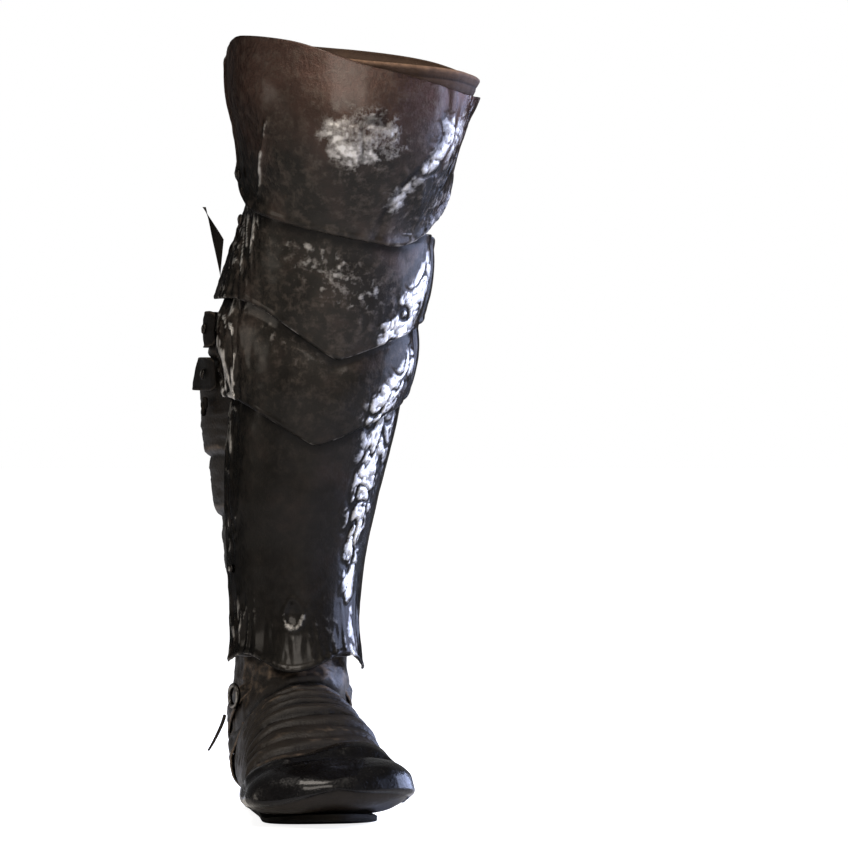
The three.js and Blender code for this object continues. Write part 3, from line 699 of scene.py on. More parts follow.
def knee_wear(points, degrees, z, edge):
    """Worn at the boss, the gouges and the rims, dark in the boss's cracks; painted sheen and highlights
    round the boss, on the facet's ridge and the inner side; painted shade in the facet's crease.
    """
    broken = flakes(points, 13, 5)
    # Painted sheen: a soft bright halo round the boss, where the front light's sheen falls.
    painted_sheen_halo = bell(np.hypot((degrees + 6) / 21, (z - 500) / 27))
    struck = boss_patch(degrees, z)
    grains = between(unevenness(points, 3.4, 6), -0.1, 0.55) * between(unevenness(points, 8, 7), -0.5, 0.2)
    lower_left = 0.5 + 0.5 * np.tanh(((-6 - degrees) / 17 - (z - 504) / 19) * 1.6)
    # Painted highlight: a bright arc round the lower left of the boss.
    painted_highlight_arc = bell((np.hypot((degrees + 5) / 17, (z - 504) / 19) - 0.72) / 0.3) * lower_left
    sparse = between(unevenness(points, 3.1, 16), 0.42, 0.7)
    boss = struck * (0.13 + 0.1 * broken + 0.08 * grains + 0.4 * sparse) + 0.2 * painted_sheen_halo * (0.6 + 0.4 * grains)
    boss = boss + painted_highlight_arc * (0.16 + 0.6 * grains)
    # Painted highlight on the facet's ridge, and painted sheen over the inner side and beside the facet,
    # where the cool inner softbox is mirrored.
    ridge = facet_glint(degrees, z) * flakes(points, (16, 16, 22), 8)
    inner = 0.12 * band(degrees, 48, 96, 14) * (0.3 + 0.7 * flakes(points, (16, 16, 22), 8))
    inner = inner + 0.07 * between(degrees - facet_line(z), 2, 10) * between(-z, -500, -462)
    scraped = 0.45 * gouges(degrees, z, 1.2) * (0.6 + 0.6 * unevenness(points, 6, 13))
    outer_rim = 0.5 * bell(edge / 1.4) * between(-degrees, 84, 96)
    inner_rim = 0.4 * bell(edge / 1.2) * between(degrees, 15, 40) * (z < 530)
    wear_and_glint = boss + 0.6 * ridge + inner + scraped + outer_rim + inner_rim
    # Painted shade along the facet's crease; the boss's cracks are darker too.
    grime_and_shade = 0.7 * bell((degrees - facet_line(z) + 1) / 2.0) * band(z, 440, 520, 20)
    cracked = 0.7 * struck * (1 - between(broken, 0.0, 0.25)) * between(degrees, -14, 0)
    return wear_and_glint, grime_and_shade + cracked


knee_plate = plate(
    "knee_plate_iron", -98, 112, knee_bottom, knee_top, knee_offset, knee_relief, knee_wear, 95
)

# %% [markdown]
# ### Lames
#
# Two narrow lames let the knee bend. Each ends below in a blunt point and lies over the next, and
# each is bellied, so light gathers on its lower half. Their outer ends were folded while hot,
# which left long streaks, and their inner ends are crumpled beside a border as wide as a thumb.
# %% Lames


def chevron(apex, outer_rise, inner_rise, peak):
    """A lower edge with a blunt point that rises to both sides in proportion to the distance."""

    def edge(angle):
        across = np.sin(angle - deg(peak))
        run = np.minimum(1, (np.sqrt(across * across + 0.0016) - 0.04) / 0.9)
        return apex + run * np.where(across < 0, outer_rise, inner_rise)

    return edge


upper_bottom = chevron(341, 46, 26, 0)
lower_bottom = chevron(277, 36, 30, -4)


def inner_glint(degrees, z, low, high):
    """1 over a battered strip that climbs from the front towards the inner border; it also places a painted
    highlight, where the inner softbox is mirrored.
    """
    middle = mix(33, 55, between(z, low, high))
    width = mix(14, 7, between(z, low + 20, high + 15))
    return bell((degrees - middle) / width) * band(z, low - 12, high + 4, 26)


def inner_round(angle, end):
    """How far an edge line turns back to round the inner corner of a lame."""
    return 11 * (1 - quarter_round((deg(end - 9) - angle) / deg(24)))


def lame_relief(seed, border, low, high):
    """Relief of a lame: hammering, outer folds, flaked inner strip, and a grooved inner border."""

    def relief(points, degrees, z, side, from_bottom):
        outer = 1.3 * folded_end(points, degrees, 50, seed + 10)
        broken = flakes(points, (10, 10, 14), seed + 20)
        inner = 1.9 * inner_glint(degrees, z, low, high) * (broken - 0.55)
        groove = -1.9 * bell((degrees - border) / 2.6) + 1.5 * bell((degrees - border - 11) / 8)
        lip = 0.7 * bell((from_bottom - 2.2) / 1.6) + 0.6 * bell((side - 2.4) / 1.8)
        return 0.9 * hammered(points, seed) + outer + inner + groove + lip

    return relief


def lame_wear(seed, border, low, high, lap, spot, spot_z, amount):
    """Wear of a lame: rims, fold crests and one speckled patch, with painted highlight on the fold crests and
    the flaked inner strip, and painted shade in the groove and under the lap.
    """

    def wear(points, degrees, z, edge):
        slant = (z - spot_z) + (degrees - spot) * 0.7
        patch = bell(np.hypot((degrees - spot) / 34, slant / 17))
        grains = between(unevenness(points, 3.2, seed + 30), 0.15, 0.6)
        clumps = between(unevenness(points, 11, seed + 33), -0.5, 0.3)
        speckle = amount * patch * (0.3 + 0.7 * grains * clumps)
        outer = 1.0 * between(folded_end(points, degrees, 50, seed + 10), 0.3, 0.75)
        broken = flakes(points, (10, 10, 14), seed + 20)
        glint = inner_glint(degrees, z, low, high)
        # Painted highlight: the flakes of the inner strip are painted bright where the inner softbox is
        # mirrored, and the bare fold crests are painted brighter for the light from the outer side; the patch
        # and rims are wear.
        wear_and_glint = speckle + outer + 0.8 * between(glint * broken, 0.12, 0.8) + rim_wear(points, edge, seed + 3)
        # Painted shade in the border's groove, painted dark cracks in the painted highlight, and the painted
        # shadow under the lap above.
        grime_and_shade = 0.8 * bell((degrees - border) / 2.0) + 0.8 * glint * (1 - between(broken, 0, 0.3))
        grime_and_shade = grime_and_shade + painted_lap_shadow(degrees, z, lap)
        return wear_and_glint, grime_and_shade

    return wear


upper_lame = plate(
    "upper_lame_iron", -92, 92,
    lambda angle: upper_bottom(angle) + inner_round(angle, 92),
    lambda angle: knee_bottom(np.clip(angle, deg(-68), deg(18))) + 10 - 1.6 * inner_round(angle, 92),
    lambda angle, z, v: 11 + 3.4 * np.sin(np.pi * np.minimum(1, v * 1.12)) ** 0.8 + outer_flare(angle, z),
    lame_relief(100, 66, 358, 415), lame_wear(100, 66, 358, 415, knee_bottom, -8, 402, 0.55), 80,
)
lower_lame = plate(
    "lower_lame_iron", -84, 84,
    lambda angle: lower_bottom(angle) + inner_round(angle, 84),
    lambda angle: upper_bottom(angle) + 14,
    lambda angle, z, v: 7.8 + 3.4 * np.sin(np.pi * np.minimum(1, v * 1.35)) ** 0.8 + outer_flare(angle, z),
    lame_relief(200, 66, 300, 345), lame_wear(200, 66, 300, 345, upper_bottom, -30, 352, 0.2), 76,
)

# %% [markdown]
# ### Shin plate
#
# The long plate over the shin has a faint keel down its middle, a wavy flared hem, and one
# teardrop dent low on its front. Streaks fan out to the hem, as the sheet was drawn out there.
# %% Shin plate


def shin_bottom(angle):
    """The wavy hem: four waves round the plate's full turn."""
    return 114 - 6.5 * np.cos(4 * (angle + deg(12)))


def shin_offset(angle, z, v):
    """Distance from the leg, with the keel and the flare of the hem."""
    keel = 1.4 * bell((angle + deg(4)) / deg(9)) * smooth_step((z - 130) / 60)
    return 4.8 + keel + 1.4 * (1 - smooth_step((z - 108) / 30))


def teardrop(degrees, z):
    """Distance from the middle of the dent, 1 at its rim; it narrows upwards."""
    taper = 1 + 0.5 * between(z, 151, 163)
    return np.hypot((degrees + 10.5) * taper / 6.2, (z - 151) / 9)


def hem_fan(degrees, z):
    """1 at both sides of the hem, where the sheet was drawn out, and little in its middle."""
    return between(-z, -190, -135) * (0.45 + 0.55 * between(np.abs(degrees + 6), 22, 46))


def shin_glint(degrees, z):
    """1 down the battered inner side of the shin, narrower and weaker near the hem; it also places a painted
    highlight, where the inner softbox is mirrored.
    """
    middle = 43 - 6 * between(-z, -280, -215) + 5 * between(-z, -180, -140)
    width = mix(9, 18, between(z, 170, 280))
    return bell((degrees - middle) / width) * mix(0.45, 1, between(z, 135, 200))


def shin_relief(points, degrees, z, side, from_bottom):
    """Hammering, the dent, streaks at the hem and outer edge, and flakes down the inner side."""
    drop = teardrop(degrees, z)
    dent = -1.9 * bell(drop) + 0.9 * bell((drop - 1.25) / 0.3)
    fan = 0.6 * hem_fan(degrees, z) * crumple(points, (7, 7, 40), 331, 2)
    outer = 1.2 * folded_end(points, degrees, 48, 310)
    inner = 1.9 * shin_glint(degrees, z) * (flakes(points, (9, 9, 17), 320) - 0.55)
    hem = 0.9 * bell((from_bottom - 2.4) / 1.8) + 0.5 * bell((side - 2.2) / 1.6)
    return 0.9 * hammered(points, 300) + dent + fan + outer + inner + hem


def shin_wear(points, degrees, z, edge):
    """Wear at the hem and rims; painted highlight on the flakes of the inner side and on the dent's lower
    rim, which is partly wear; painted shade in the cracks and under the lap.
    """
    broken = flakes(points, (9, 9, 17), 320)
    glint = shin_glint(degrees, z)
    outer = 0.5 * between(folded_end(points, degrees, 48, 310), 0.25, 0.8)
    # Painted highlight on the dent's lower rim, which faces up, together with some rim wear.
    dent = 0.28 * bell((teardrop(degrees, z) - 1.2) / 0.3) * (z < 151)
    fan = 0.2 * hem_fan(degrees, z) * between(crumple(points, (7, 7, 40), 331, 2), 0.2, 0.9)
    # Painted highlight on the flakes of the inner side; the return adds painted dark cracks between them and
    # the painted shadow under the lap.
    wear_and_glint = 0.8 * between(glint * broken, 0.12, 0.8) + outer + dent + fan + rim_wear(points, edge, 303)
    return wear_and_glint, 0.8 * glint * (1 - between(broken, 0, 0.3)) + painted_lap_shadow(degrees, z, lower_bottom)


shin_plate = plate(
    "shin_plate_iron", -80, 80, shin_bottom, lambda angle: lower_bottom(angle) + 13,
    shin_offset, shin_relief, shin_wear, 66,
)

# %% [markdown]
# ## Leather boot
#
# The boot's shaft is soft and too long for the calf, so it slouches: at each fold one tier of
# leather hangs over the tier below it. The profile of one fold is short and round above the
# crease, where the lip is, and long below it, where the lower tier slides in under the lip.
# %% Shaft

LEATHER, SHAFT_BOTTOM, SHAFT_TOP = 2.4, 118, 528
FOLD_HEIGHTS = (132, 174, 225, 272, 346, 400, 440, 482)
STRAP_HEIGHTS = {"upper": (351, 378), "lower": (318, 343), "knee": (455, 467)}


def tier_folds(points, angle, z):
    """How deep the leather is tucked in, the deepest of the folds, and a mask along the folds' lips for a
    painted highlight.
    """
    reach = 0.18 + 0.82 * behind(angle)
    deepest, lip_highlight = 0, 0
    for k, height in enumerate(FOLD_HEIGHTS):
        slant = 7 * np.sin(angle * (1 if k % 2 else 2) + 1.9 * k) * behind(angle)
        sag = 4 * unevenness(points * (1, 1, 0.2), 40, 400 + k)
        above = z - height - slant - sag
        fold = np.where(above > 0, 1 - quarter_round(above / 7), np.exp(np.minimum(above, 0) / 12))
        deepest = np.maximum(deepest, fold)
        lip_highlight = np.maximum(lip_highlight, bell((above - 4.5) / 3))
    reach = reach * smooth_step((z - 114) / 25)
    return 6.5 * reach * deepest, lip_highlight * reach


def shaft():
    """A closed wall round the leg from the ankle to under the knee plate."""
    height = SHAFT_TOP - SHAFT_BOTTOM
    angle, v = np.meshgrid(full_turn(150), steps(height, LEATHER, 1.75))
    z = mix(SHAFT_BOTTOM, SHAFT_TOP, v)
    points = leg_point(angle, z, swell(angle, z))
    tuck, lip_highlight = tier_folds(points, angle, z)
    wrinkle = 0.9 * (0.35 + 0.65 * behind(angle)) * crumple(points, (24, 24, 9), 420)
    drape = 0.8 * unevenness(points, (30, 30, 60), 430)
    strapped = sum(band(z, low - 2, high + 2, 6) for low, high in STRAP_HEIGHTS.values())
    raised = (wrinkle + drape - 0.9) * (1 - 0.8 * np.minimum(1, strapped)) - tuck
    # Painted highlight along the folds' lips, with rubbing on the wrinkle crests; painted shade in the tucks
    # below the lips.
    rub_and_highlight = 0.75 * lip_highlight + 0.12 * between(wrinkle - 0.35 * tuck, 0.0, 0.8)
    return wall(
        "boot_shaft_leather", lambda lift: leg_point(angle, z, lift),
        swell(angle, z) + raised - 0.5 * LEATHER, rounded_half(LEATHER, inset(v, height)), boot_leather,
        {"rub_and_highlight": rub_and_highlight, "creased": 0.9 * between(tuck, 2.0, 5.5)}, closed=True,
    )


boot_shaft = shaft()

# %% [markdown]
# ### Foot
#
# The foot is one piece of leather drawn tight over the instep, where it gathers in pleats that
# run across and fade down the sides. Walking sets them, so they are rounded above and sharp
# below. The wall closes at the toe in a pole and stays open at the ankle.
# %% Foot

FOOT_LENGTH = 310
PLEATS = (0.79, 0.86, 0.92, 0.98, 1.06, 1.16, 1.28, 1.41, 1.55)


def pleat_depth(points, station, angle):
    """The deepest of the pleats, each a round lip over a slope; they fade down the sides."""
    on_top = smooth_step(0.5 + 0.85 * np.cos(angle))
    deepest = 0
    for k, at in enumerate(PLEATS):
        bend = 0.05 * (np.cos(angle) - 1) - 0.03 * np.sin(angle) + 0.02 * unevenness(points, 30, 500 + k)
        millimetres = mix(185, 75, between(at, 0.9, 1.1))
        ahead = (station - at + bend) * millimetres
        lip = np.where(ahead > 0, 1 - quarter_round(ahead / 6), np.exp(np.minimum(ahead, 0) / 2.8))
        strength = 0.6 + 0.4 * np.sin(2.4 * k + 1.3)
        deepest = np.maximum(deepest, lip * strength)
    return 6.2 * on_top * deepest


def foot():
    """A closed wall from the toe's pole to the ankle."""
    v = np.concatenate([np.linspace(0, 0.988, 215), [0.992, 0.996, 0.9985, 1.0]])
    angle, v = np.meshgrid(full_turn(150), v)
    station = 2 * v**0.9
    points = foot_point(station, angle, 0.0)
    pleat = pleat_depth(points, station, angle)
    covered = 1 - between(station, 0.5, 0.66)
    below = between(-np.cos(angle), 0.55, 0.9)
    loose = (1 - covered) * (1 - below)
    on_instep = smooth_step(0.4 + np.cos(angle)) * (1 - covered)
    wrinkle = 0.3 * loose * crumple(points, (26, 9, 9), 520)
    side = 1.0 * loose * between(station, 1.1, 1.4) * crumple(points, (20, 14, 22), 530, 2)
    raised = wrinkle + side - 0.5 * loose - pleat * (1 - covered)
    # Painted highlight on the wrinkle crests of the instep, partly rubbing; painted shade in the pleats.
    rub_and_highlight = 0.65 * between(wrinkle - 0.3 * pleat, -0.3, 0.5) * on_instep + 0.25 * between(side, 0.2, 0.9)
    return wall(
        "foot_leather", lambda lift: foot_point(station, angle, lift), raised - 0.5 * LEATHER,
        rounded_half(LEATHER, (1 - v) * FOOT_LENGTH), boot_leather,
        {"rub_and_highlight": rub_and_highlight, "creased": 0.95 * between(pleat, 1.2, 3.6)}, closed=True, pole=True,
    )


foot_upper = foot()

# %% [markdown]
# ### Toe cap
#
# A second layer of polished leather covers the toe. Its back edge has come loose and curls up in
# a crooked fold, most on the inner half, where a dark slit opens behind it.
# %% Toe cap

CAP_LIFT, CAP_THICK, CAP_ROUND, CAP_LENGTH = 1.5, 2.0, 215, 75


def toe_cap_piece():
    """A wall over the front of the foot, from the pole at the toe to its lifted back edge."""
    u, v = np.meshgrid(steps(CAP_ROUND, CAP_THICK, 1.6), steps(CAP_LENGTH, CAP_THICK, 1.3)[4:])
    v = (v - v[0, 0]) / (1 - v[0, 0])
    angle = deg(mix(-116, 116, u))
    degrees = np.degrees(angle)
    crooked = 0.010 * np.sin(angle * 7 + 1) + 0.022 * np.sin(angle * 3) + 0.004 * np.sin(angle * 15)
    edge_at = 0.66 + 0.05 * np.sin(angle * 2) + crooked
    station = edge_at * v
    from_edge, from_side = (1 - v) * CAP_LENGTH, inset(u, CAP_ROUND)
    points = foot_point(station, angle, 3.0)
    on_top = smooth_step(0.5 + np.cos(angle))
    curl = on_top * (1.6 + 5.0 * bell((degrees - 30) / 28)) * smooth_step(1 - from_edge / 13)
    fold = 2.0 * on_top * bell((from_edge - 7) / 3.2) - 2.2 * on_top * bell((from_edge - 15) / 4)
    fold = fold + 0.9 * on_top * bell((from_edge - 12) / 6) * crumple(points, (16, 12, 12), 605, 1)
    front = between(v, 0.05, 0.25)
    crumpled = 0.45 * front * crumple(points, (26, 16, 14), 600, 2)
    crumpled = crumpled + 0.6 * front * unevenness(points, 22, 610)
    raised = curl + fold + crumpled
    sunk = 2.6 * (1 - between(from_side, 0, 16))
    middle = CAP_LIFT + 0.5 * CAP_THICK + np.maximum(raised, -1.0) - sunk
    rub_and_highlight = bell(from_edge / 2.5) + 0.3 * between(raised, 0.8, 2.5)
    return wall(
        "toe_cap_leather", lambda lift: foot_point(station, angle, lift), middle,
        rounded_half(CAP_THICK, np.minimum(from_side, from_edge)), toe_leather,
        {"rub_and_highlight": rub_and_highlight, "creased": 0 * u}, pole=True,
    )


toe_cap = toe_cap_piece()

# %% Sole


def sole_piece():
    """A flat oval tube whose section is a rectangle with rounded corners and a groove at its edge."""
    front, back = TOE_Y + 4, HEEL_Y - 8
    t = 0.5 - 0.5 * np.cos(np.pi * np.linspace(0, 1, 160))
    around, t = np.meshgrid(full_turn(96), t)
    y = mix(front, back, t)
    inwards = 0.5 + 0.5 * np.cos(around)
    rounding = quarter_round((y - front) / mix(84, 100, inwards)) * quarter_round((back - y) / 32)
    half_width = sole_width(y) * rounding
    groove = 1 - 0.018 * bell(np.sin(around) / 0.3) * rounding
    across = half_width * signed_power(np.cos(around), np.where(np.sin(around) < 0, 2 / 3, 2 / 14)) * groove
    low, high = 1.1 * toe_spring(y), SOLE_THICK + toe_spring(y)
    lower = np.sin(around) < 0
    z = (low + high) / 2 + (high - low) / 2 * signed_power(np.sin(around), np.where(lower, 2 / 3, 2 / 7))
    grid = np.stack([foot_shift(y) + across, y, z], axis=-1)
    wear_and_glint = between(np.abs(np.cos(around)), 0.9, 1.0) * (0.4 + 0.5 * unevenness(grid, 8, 640))
    marks = {"rub_and_highlight": wear_and_glint, "creased": bell(np.sin(around) / 0.2) * 0.7}
    return tube("sole_leather", grid, sole_leather, marks)


sole = sole_piece()

# %% [markdown]
# ### Heel bands
#
# Two bands of the same leather are wound round the heel and hold the foot in the boot. They are
# strips of the foot's surface, lifted by their own thickness, with creased and curling edges.
# %% Heel bands

BAND_LIFT, BAND_THICK = 1.8, 2.0


def heel_band(name, start, end, reach, seed):
    """A wall on the foot between two turns of the fan and out to both sides of the heel."""
    length, height = deg(2 * reach) * 70, deg(end - start) * 130
    u, v = np.meshgrid(steps(length, BAND_THICK, 1.9), steps(height, BAND_THICK, 1.5))
    angle = deg(mix(180 - reach, 180 + reach, u))
    along, across = inset(u, length), inset(v, height)
    narrow = 0.75 + 0.25 * quarter_round(along / 25)
    station = 1 + deg(mix(start, end, 0.5 + (v - 0.5) * narrow)) / FAN_END
    points = foot_point(station, angle, 3.0)
    edge = np.minimum(along, across)
    folds = 0.9 * crumple(points, (26, 26, 8), seed, 2)
    curl = 0.8 * bell((across - 1.5) / 2)
    sunk = 4.5 * (1 - between(along, 0, 30))
    middle = BAND_LIFT + 0.5 * BAND_THICK - 1.5 + folds * between(edge, 0, 4) + curl - sunk
    # Rubbed at the edges and fold crests; painted shade in the hollows of the folds.
    rub_and_highlight = bell(edge / 2) * 0.8 + 0.4 * between(folds, 0.2, 0.9)
    return wall(
        name, lambda lift: foot_point(station, angle, lift), middle, rounded_half(BAND_THICK, edge),
        boot_leather, {"rub_and_highlight": rub_and_highlight, "creased": between(-folds, 0.3, 0.9)},
    )


heel_lower = heel_band("heel_band_lower_leather", 44, 53, 100, 700)
heel_upper = heel_band("heel_band_upper_leather", 56, 63, 122, 710)

# %% [markdown]
# ### Thigh cuff
#
# The cuff is a separate band of thicker brown leather inside the knee plate. It stands above the
# plate's inner half, and its rim is turned outwards and worn.
# %% Thigh cuff

CUFF_THICK, CUFF_BOTTOM, CUFF_HEIGHT = 2.8, 505, 60


def cuff_rim(angle):
    """Height of the cuff's upper edge: higher behind, with a dip on the inner side."""
    return 560 - 8 * np.sin(angle) + 18 * behind(angle) - 9 * bell((angle - deg(88)) / deg(36))


def cuff():
    """A closed wall round the leg whose upper edge rolls outwards."""
    angle, v = np.meshgrid(full_turn(240), steps(CUFF_HEIGHT, CUFF_THICK, 1.6))
    z = mix(CUFF_BOTTOM, cuff_rim(angle), v)
    from_rim = cuff_rim(angle) - z
    points = leg_point(angle, z, 3.0)
    roll = 3 * smooth_step((v - 0.4) / 0.6) + 0.8 * bell((from_rim - 2.5) / 2)
    seam = -0.7 * bell((from_rim - 7.5) / 0.9)
    ripple = 0.5 * unevenness(points, (12, 12, 50), 720) + 0.4 * v * crumple(points, (16, 16, 30), 730, 2)
    rub_and_highlight = bell(from_rim / 3) + 0.25 * between(ripple, 0.1, 0.7)
    return wall(
        "thigh_cuff_leather", lambda lift: leg_point(angle, z, lift), 2.5 + roll + seam + ripple,
        rounded_half(CUFF_THICK, np.minimum(v * CUFF_HEIGHT, from_rim)), cuff_leather,
        {"rub_and_highlight": rub_and_highlight, "creased": 0.8 * bell((from_rim - 7.5) / 1)}, closed=True,
    )


thigh_cuff = cuff()

# %% [markdown]
# ## Straps
#
# Three straps close the plates behind the leg. A strap is flat hide with a creased line pressed
# in near both edges. It lies on the leather behind and climbs over the plates' outer edge, where
# a rivet holds it; the strap's end there is rounded.
# %% Straps

STRAP = 1.8


def strap(name, low, high, start, end, on_plate, slack, seed):
    """A level wall round the back of the leg that follows the leather, and then the flared plate."""
    length, height = deg(end - start) * 74, high - low
    u, v = np.meshgrid(steps(length, STRAP, 2.0), steps(height, STRAP, 1.3))
    angle = deg(mix(start, end, u))
    along, across = inset(u, length), inset(v, height)
    narrow = 0.72 + 0.28 * quarter_round(along / 8)
    wave = 0.9 * unevenness(leg_point(angle, (low + high) / 2, 0.0), 45, seed)
    z = mix(low, high, 0.5 + (v - 0.5) * narrow) + wave
    rise = smooth_step((angle - deg(110)) / deg(70))
    on_leather = mix(0.8, 2.2, rise) + swell(angle, z)
    flared = on_plate + (outer_flare(angle, z) if slack else 0)
    lift = mix(on_leather, flared, smooth_step((angle - deg(246)) / deg(26)))
    lift = lift + slack * bell((angle - deg(262)) / deg(13))
    points = leg_point(angle, z, lift)
    pressed = -0.35 * bell((across - 2.8) / 0.7)
    creased = 0.35 * crumple(points, (9, 9, 16), seed + 5, 2)
    rub_and_highlight = bell(across / 1.6) * 0.9 + 0.4 * between(creased, 0.05, 0.3)
    return wall(
        name, lambda offset: leg_point(angle, z, offset), lift + 0.5 * STRAP + pressed + creased,
        rounded_half(STRAP, np.minimum(along, across)), strap_leather,
        {"rub_and_highlight": rub_and_highlight, "creased": 0.8 * bell((across - 2.8) / 0.8)},
    )


knee_strap = strap("knee_strap_leather", *STRAP_HEIGHTS["knee"], 74, 276, 0.8, 0, 800)
upper_strap = strap("upper_calf_strap_leather", *STRAP_HEIGHTS["upper"], 78, 279, 12, 3, 810)
lower_strap = strap("lower_calf_strap_leather", *STRAP_HEIGHTS["lower"], 78, 277, 12, 5, 820)

# %% Loose ends


def loose_end(name, place, width, length):
    """A short strap laid out by place(u, v, lift): u runs across it and v from root to tip."""
    u, v = np.meshgrid(steps(width, STRAP, 1.2), steps(length, STRAP, 1.5))
    edge = np.minimum(inset(u, width), inset(v, length))
    return wall(
        name, lambda lift: place(u, v, lift), 0.5 * STRAP, rounded_half(STRAP, edge), strap_leather,
        {"rub_and_highlight": bell(edge / 1.5), "creased": 0 * edge},
    )


def knee_end_place(u, v, lift):
    """It stands off the leg edgewise, wide at its root, and runs up and out to its tip."""
    z = mix(mix(404, 432, u), 456, v**1.2)
    angle = deg(-98) + (lift - 0.9 - 3 * np.sin(np.pi * v)) / 72
    return leg_point(angle, z, 18.5 + 2.5 * u + 21 * v**1.3)


ANKLE_PLACE = (np.array(1.69), np.array(deg(-72)))
tie_root = foot_point(*ANKLE_PLACE, 8.0)


def tie_end_place(u, v, lift):
    """It hangs from the ankle ring, swings out from the boot and twists a little."""
    x = tie_root[0] - 5 - 13 * v**1.4 - lift * (1 - 0.3 * v)
    y = tie_root[1] + mix(-3.5, 3.5, u) * (1 - 0.4 * v) + 1.2 * np.sin(4 * v)
    z = tie_root[2] - 14 - 27 * v + 1.0 * np.sin(3 * v) * (u - 0.5)
    return np.stack(np.broadcast_arrays(x, y, z), axis=-1)


knee_strap_end = loose_end("knee_strap_end_leather", knee_end_place, 28, 35)
ankle_tie_end = loose_end("ankle_tie_end_leather", tie_end_place, 7, 30)

# %% [markdown]
# ## Buckle, rivets, ring and knot
#
# The buckle is a rounded rectangle forged from bar and bent to the calf, with a pointed tongue.
# Rivets are low domes with a flattened rim. The thong is tied in a real overhand knot: its middle
# line is a trefoil, carried round by a small circle.
# %% Buckle and keeper


def buckle():
    """A bar of oval section carried round a squared ellipse and laid on the leg."""
    section, turn = np.meshgrid(full_turn(20), full_turn(120))
    reach_x, reach_z = 14.5 + 2.5 * np.cos(section), 16.5 + 2.5 * np.cos(section)
    across = reach_x * signed_power(np.cos(turn), 2 / 7)
    up = reach_z * signed_power(np.sin(turn), 2 / 7)
    lift = 4.5 + 1.5 * signed_power(np.sin(section), 0.8)
    grid = leg_point(deg(110) + across / 72, 364.5 + up, lift)
    wear_and_glint = 0.55 * between(np.sin(section), 0.3, 1) * (0.6 + 0.6 * unevenness(grid, 5, 850))
    return tube("buckle_frame_iron", grid, fitting_iron, {"wear_and_glint": wear_and_glint, "grime_and_shade": 0 * wear_and_glint}, ring=True)


def buckle_tongue_piece():
    """A pointed bar: an oval section that shrinks to a point at the tip and hooks over the frame."""
    section, t = np.meshgrid(full_turn(16), np.linspace(0, 1, 70))
    size = quarter_round(t / 0.06) * quarter_round((1 - t) / 0.35)
    angle = deg(mix(124, 97, t))
    z = 364.5 + 2.4 * size * np.cos(section)
    lift = 7.4 + 0.9 * size * np.sin(section) + 0.7 * bell((t - 0.85) / 0.12)
    grid = leg_point(angle, z, lift)
    wear_and_glint = 0.5 * between(np.sin(section), 0.2, 1)
    return tube("buckle_tongue_iron", grid, fitting_iron, {"wear_and_glint": wear_and_glint, "grime_and_shade": 0 * wear_and_glint})


def keeper():
    """A narrow loop of leather over the strap."""
    width, height, thick = 9, 31, 1.6
    u, v = np.meshgrid(steps(width, thick, 1.0), steps(height, thick, 1.2))
    edge = np.minimum(inset(u, width), inset(v, height))
    angle, z = deg(mix(130, 137, u)), mix(349, 380, v)
    return wall(
        "strap_keeper_leather", lambda lift: leg_point(angle, z, lift),
        4.8 - 1.2 * bell(inset(v, height) / 2.5), rounded_half(thick, edge), strap_leather,
        {"rub_and_highlight": bell(edge / 1.5), "creased": 0 * edge},
    )


buckle_frame, buckle_tongue, strap_keeper = buckle(), buckle_tongue_piece(), keeper()

# %% Rivets, ring and knot


def leg_axes(angle, z, offset):
    """A place on the leg and two directions along it and one out of it."""
    at = leg_point(angle, z, offset)
    out = outwards_of(lambda a, h: leg_point(a, h, offset), angle, z)
    side = np.cross([0, 0, 1.0], out)
    side /= np.linalg.norm(side)
    return at, side, np.cross(out, side), out


def rivet(name, degrees, z, offset, radius=4.2, height=2.6, seed=0):
    """A turned dome with a flattened rim, dented a little by the hammer that closed it."""
    at, side, up, out = leg_axes(deg(degrees), float(z), offset)
    around, t = np.meshgrid(full_turn(40), np.linspace(0, 1, 26))
    r = radius * np.where(t < 0.25, t / 0.25, np.cos((t - 0.25) / 0.75 * np.pi / 2) ** 0.9)
    h = np.where(t < 0.25, 0.0, height * (0.22 + 0.78 * np.sin((t - 0.25) / 0.75 * np.pi / 2)))
    h = h * quarter_round((t - 0.25) / 0.06)
    grid = at + r[..., None] * (np.cos(around)[..., None] * side + np.sin(around)[..., None] * up)
    dents = 0.22 * unevenness(grid, 2.2, 860 + seed) * (t > 0.5)
    grid = grid + (h + dents)[..., None] * out
    wear_and_glint = 0.8 * between(t, 0.6, 1.0)
    return tube(name, grid, fitting_iron, {"wear_and_glint": wear_and_glint, "grime_and_shade": bell((t - 0.25) / 0.1)})


rivets = {
    "upper_strap_rivet": rivet("upper_strap_rivet_iron", -88, 364.5, 27.7, seed=1),
    "lower_strap_rivet": rivet("lower_strap_rivet_iron", -92, 330.5, 23.0, seed=2),
    "knee_rivet": rivet("knee_rivet_iron", -89, 480, 18.4, seed=3),
    "upper_lame_rivet": rivet("upper_lame_rivet_iron", -86, 446, 14.6, seed=4),
    "shin_rivet": rivet("shin_rivet_iron", -70, 184, 5.4, 3.2, 2.2, seed=5),
}


def ring(name, at, side, up, out, radius, thick, material):
    """A forged ring: a circle carried round a circle, a little uneven in thickness."""
    section, turn = np.meshgrid(full_turn(18), full_turn(90))
    thick = thick * (1 + 0.08 * np.sin(3 * turn + 1))
    reach = radius + thick * np.cos(section)
    grid = at + (reach * np.cos(turn))[..., None] * side + (reach * np.sin(turn))[..., None] * up
    grid = grid + (thick * np.sin(section))[..., None] * out
    marks = {"wear_and_glint": 0.5 * between(np.sin(section), 0.3, 1), "grime_and_shade": 0 * turn}
    return tube(name, grid, material, marks, ring=True)


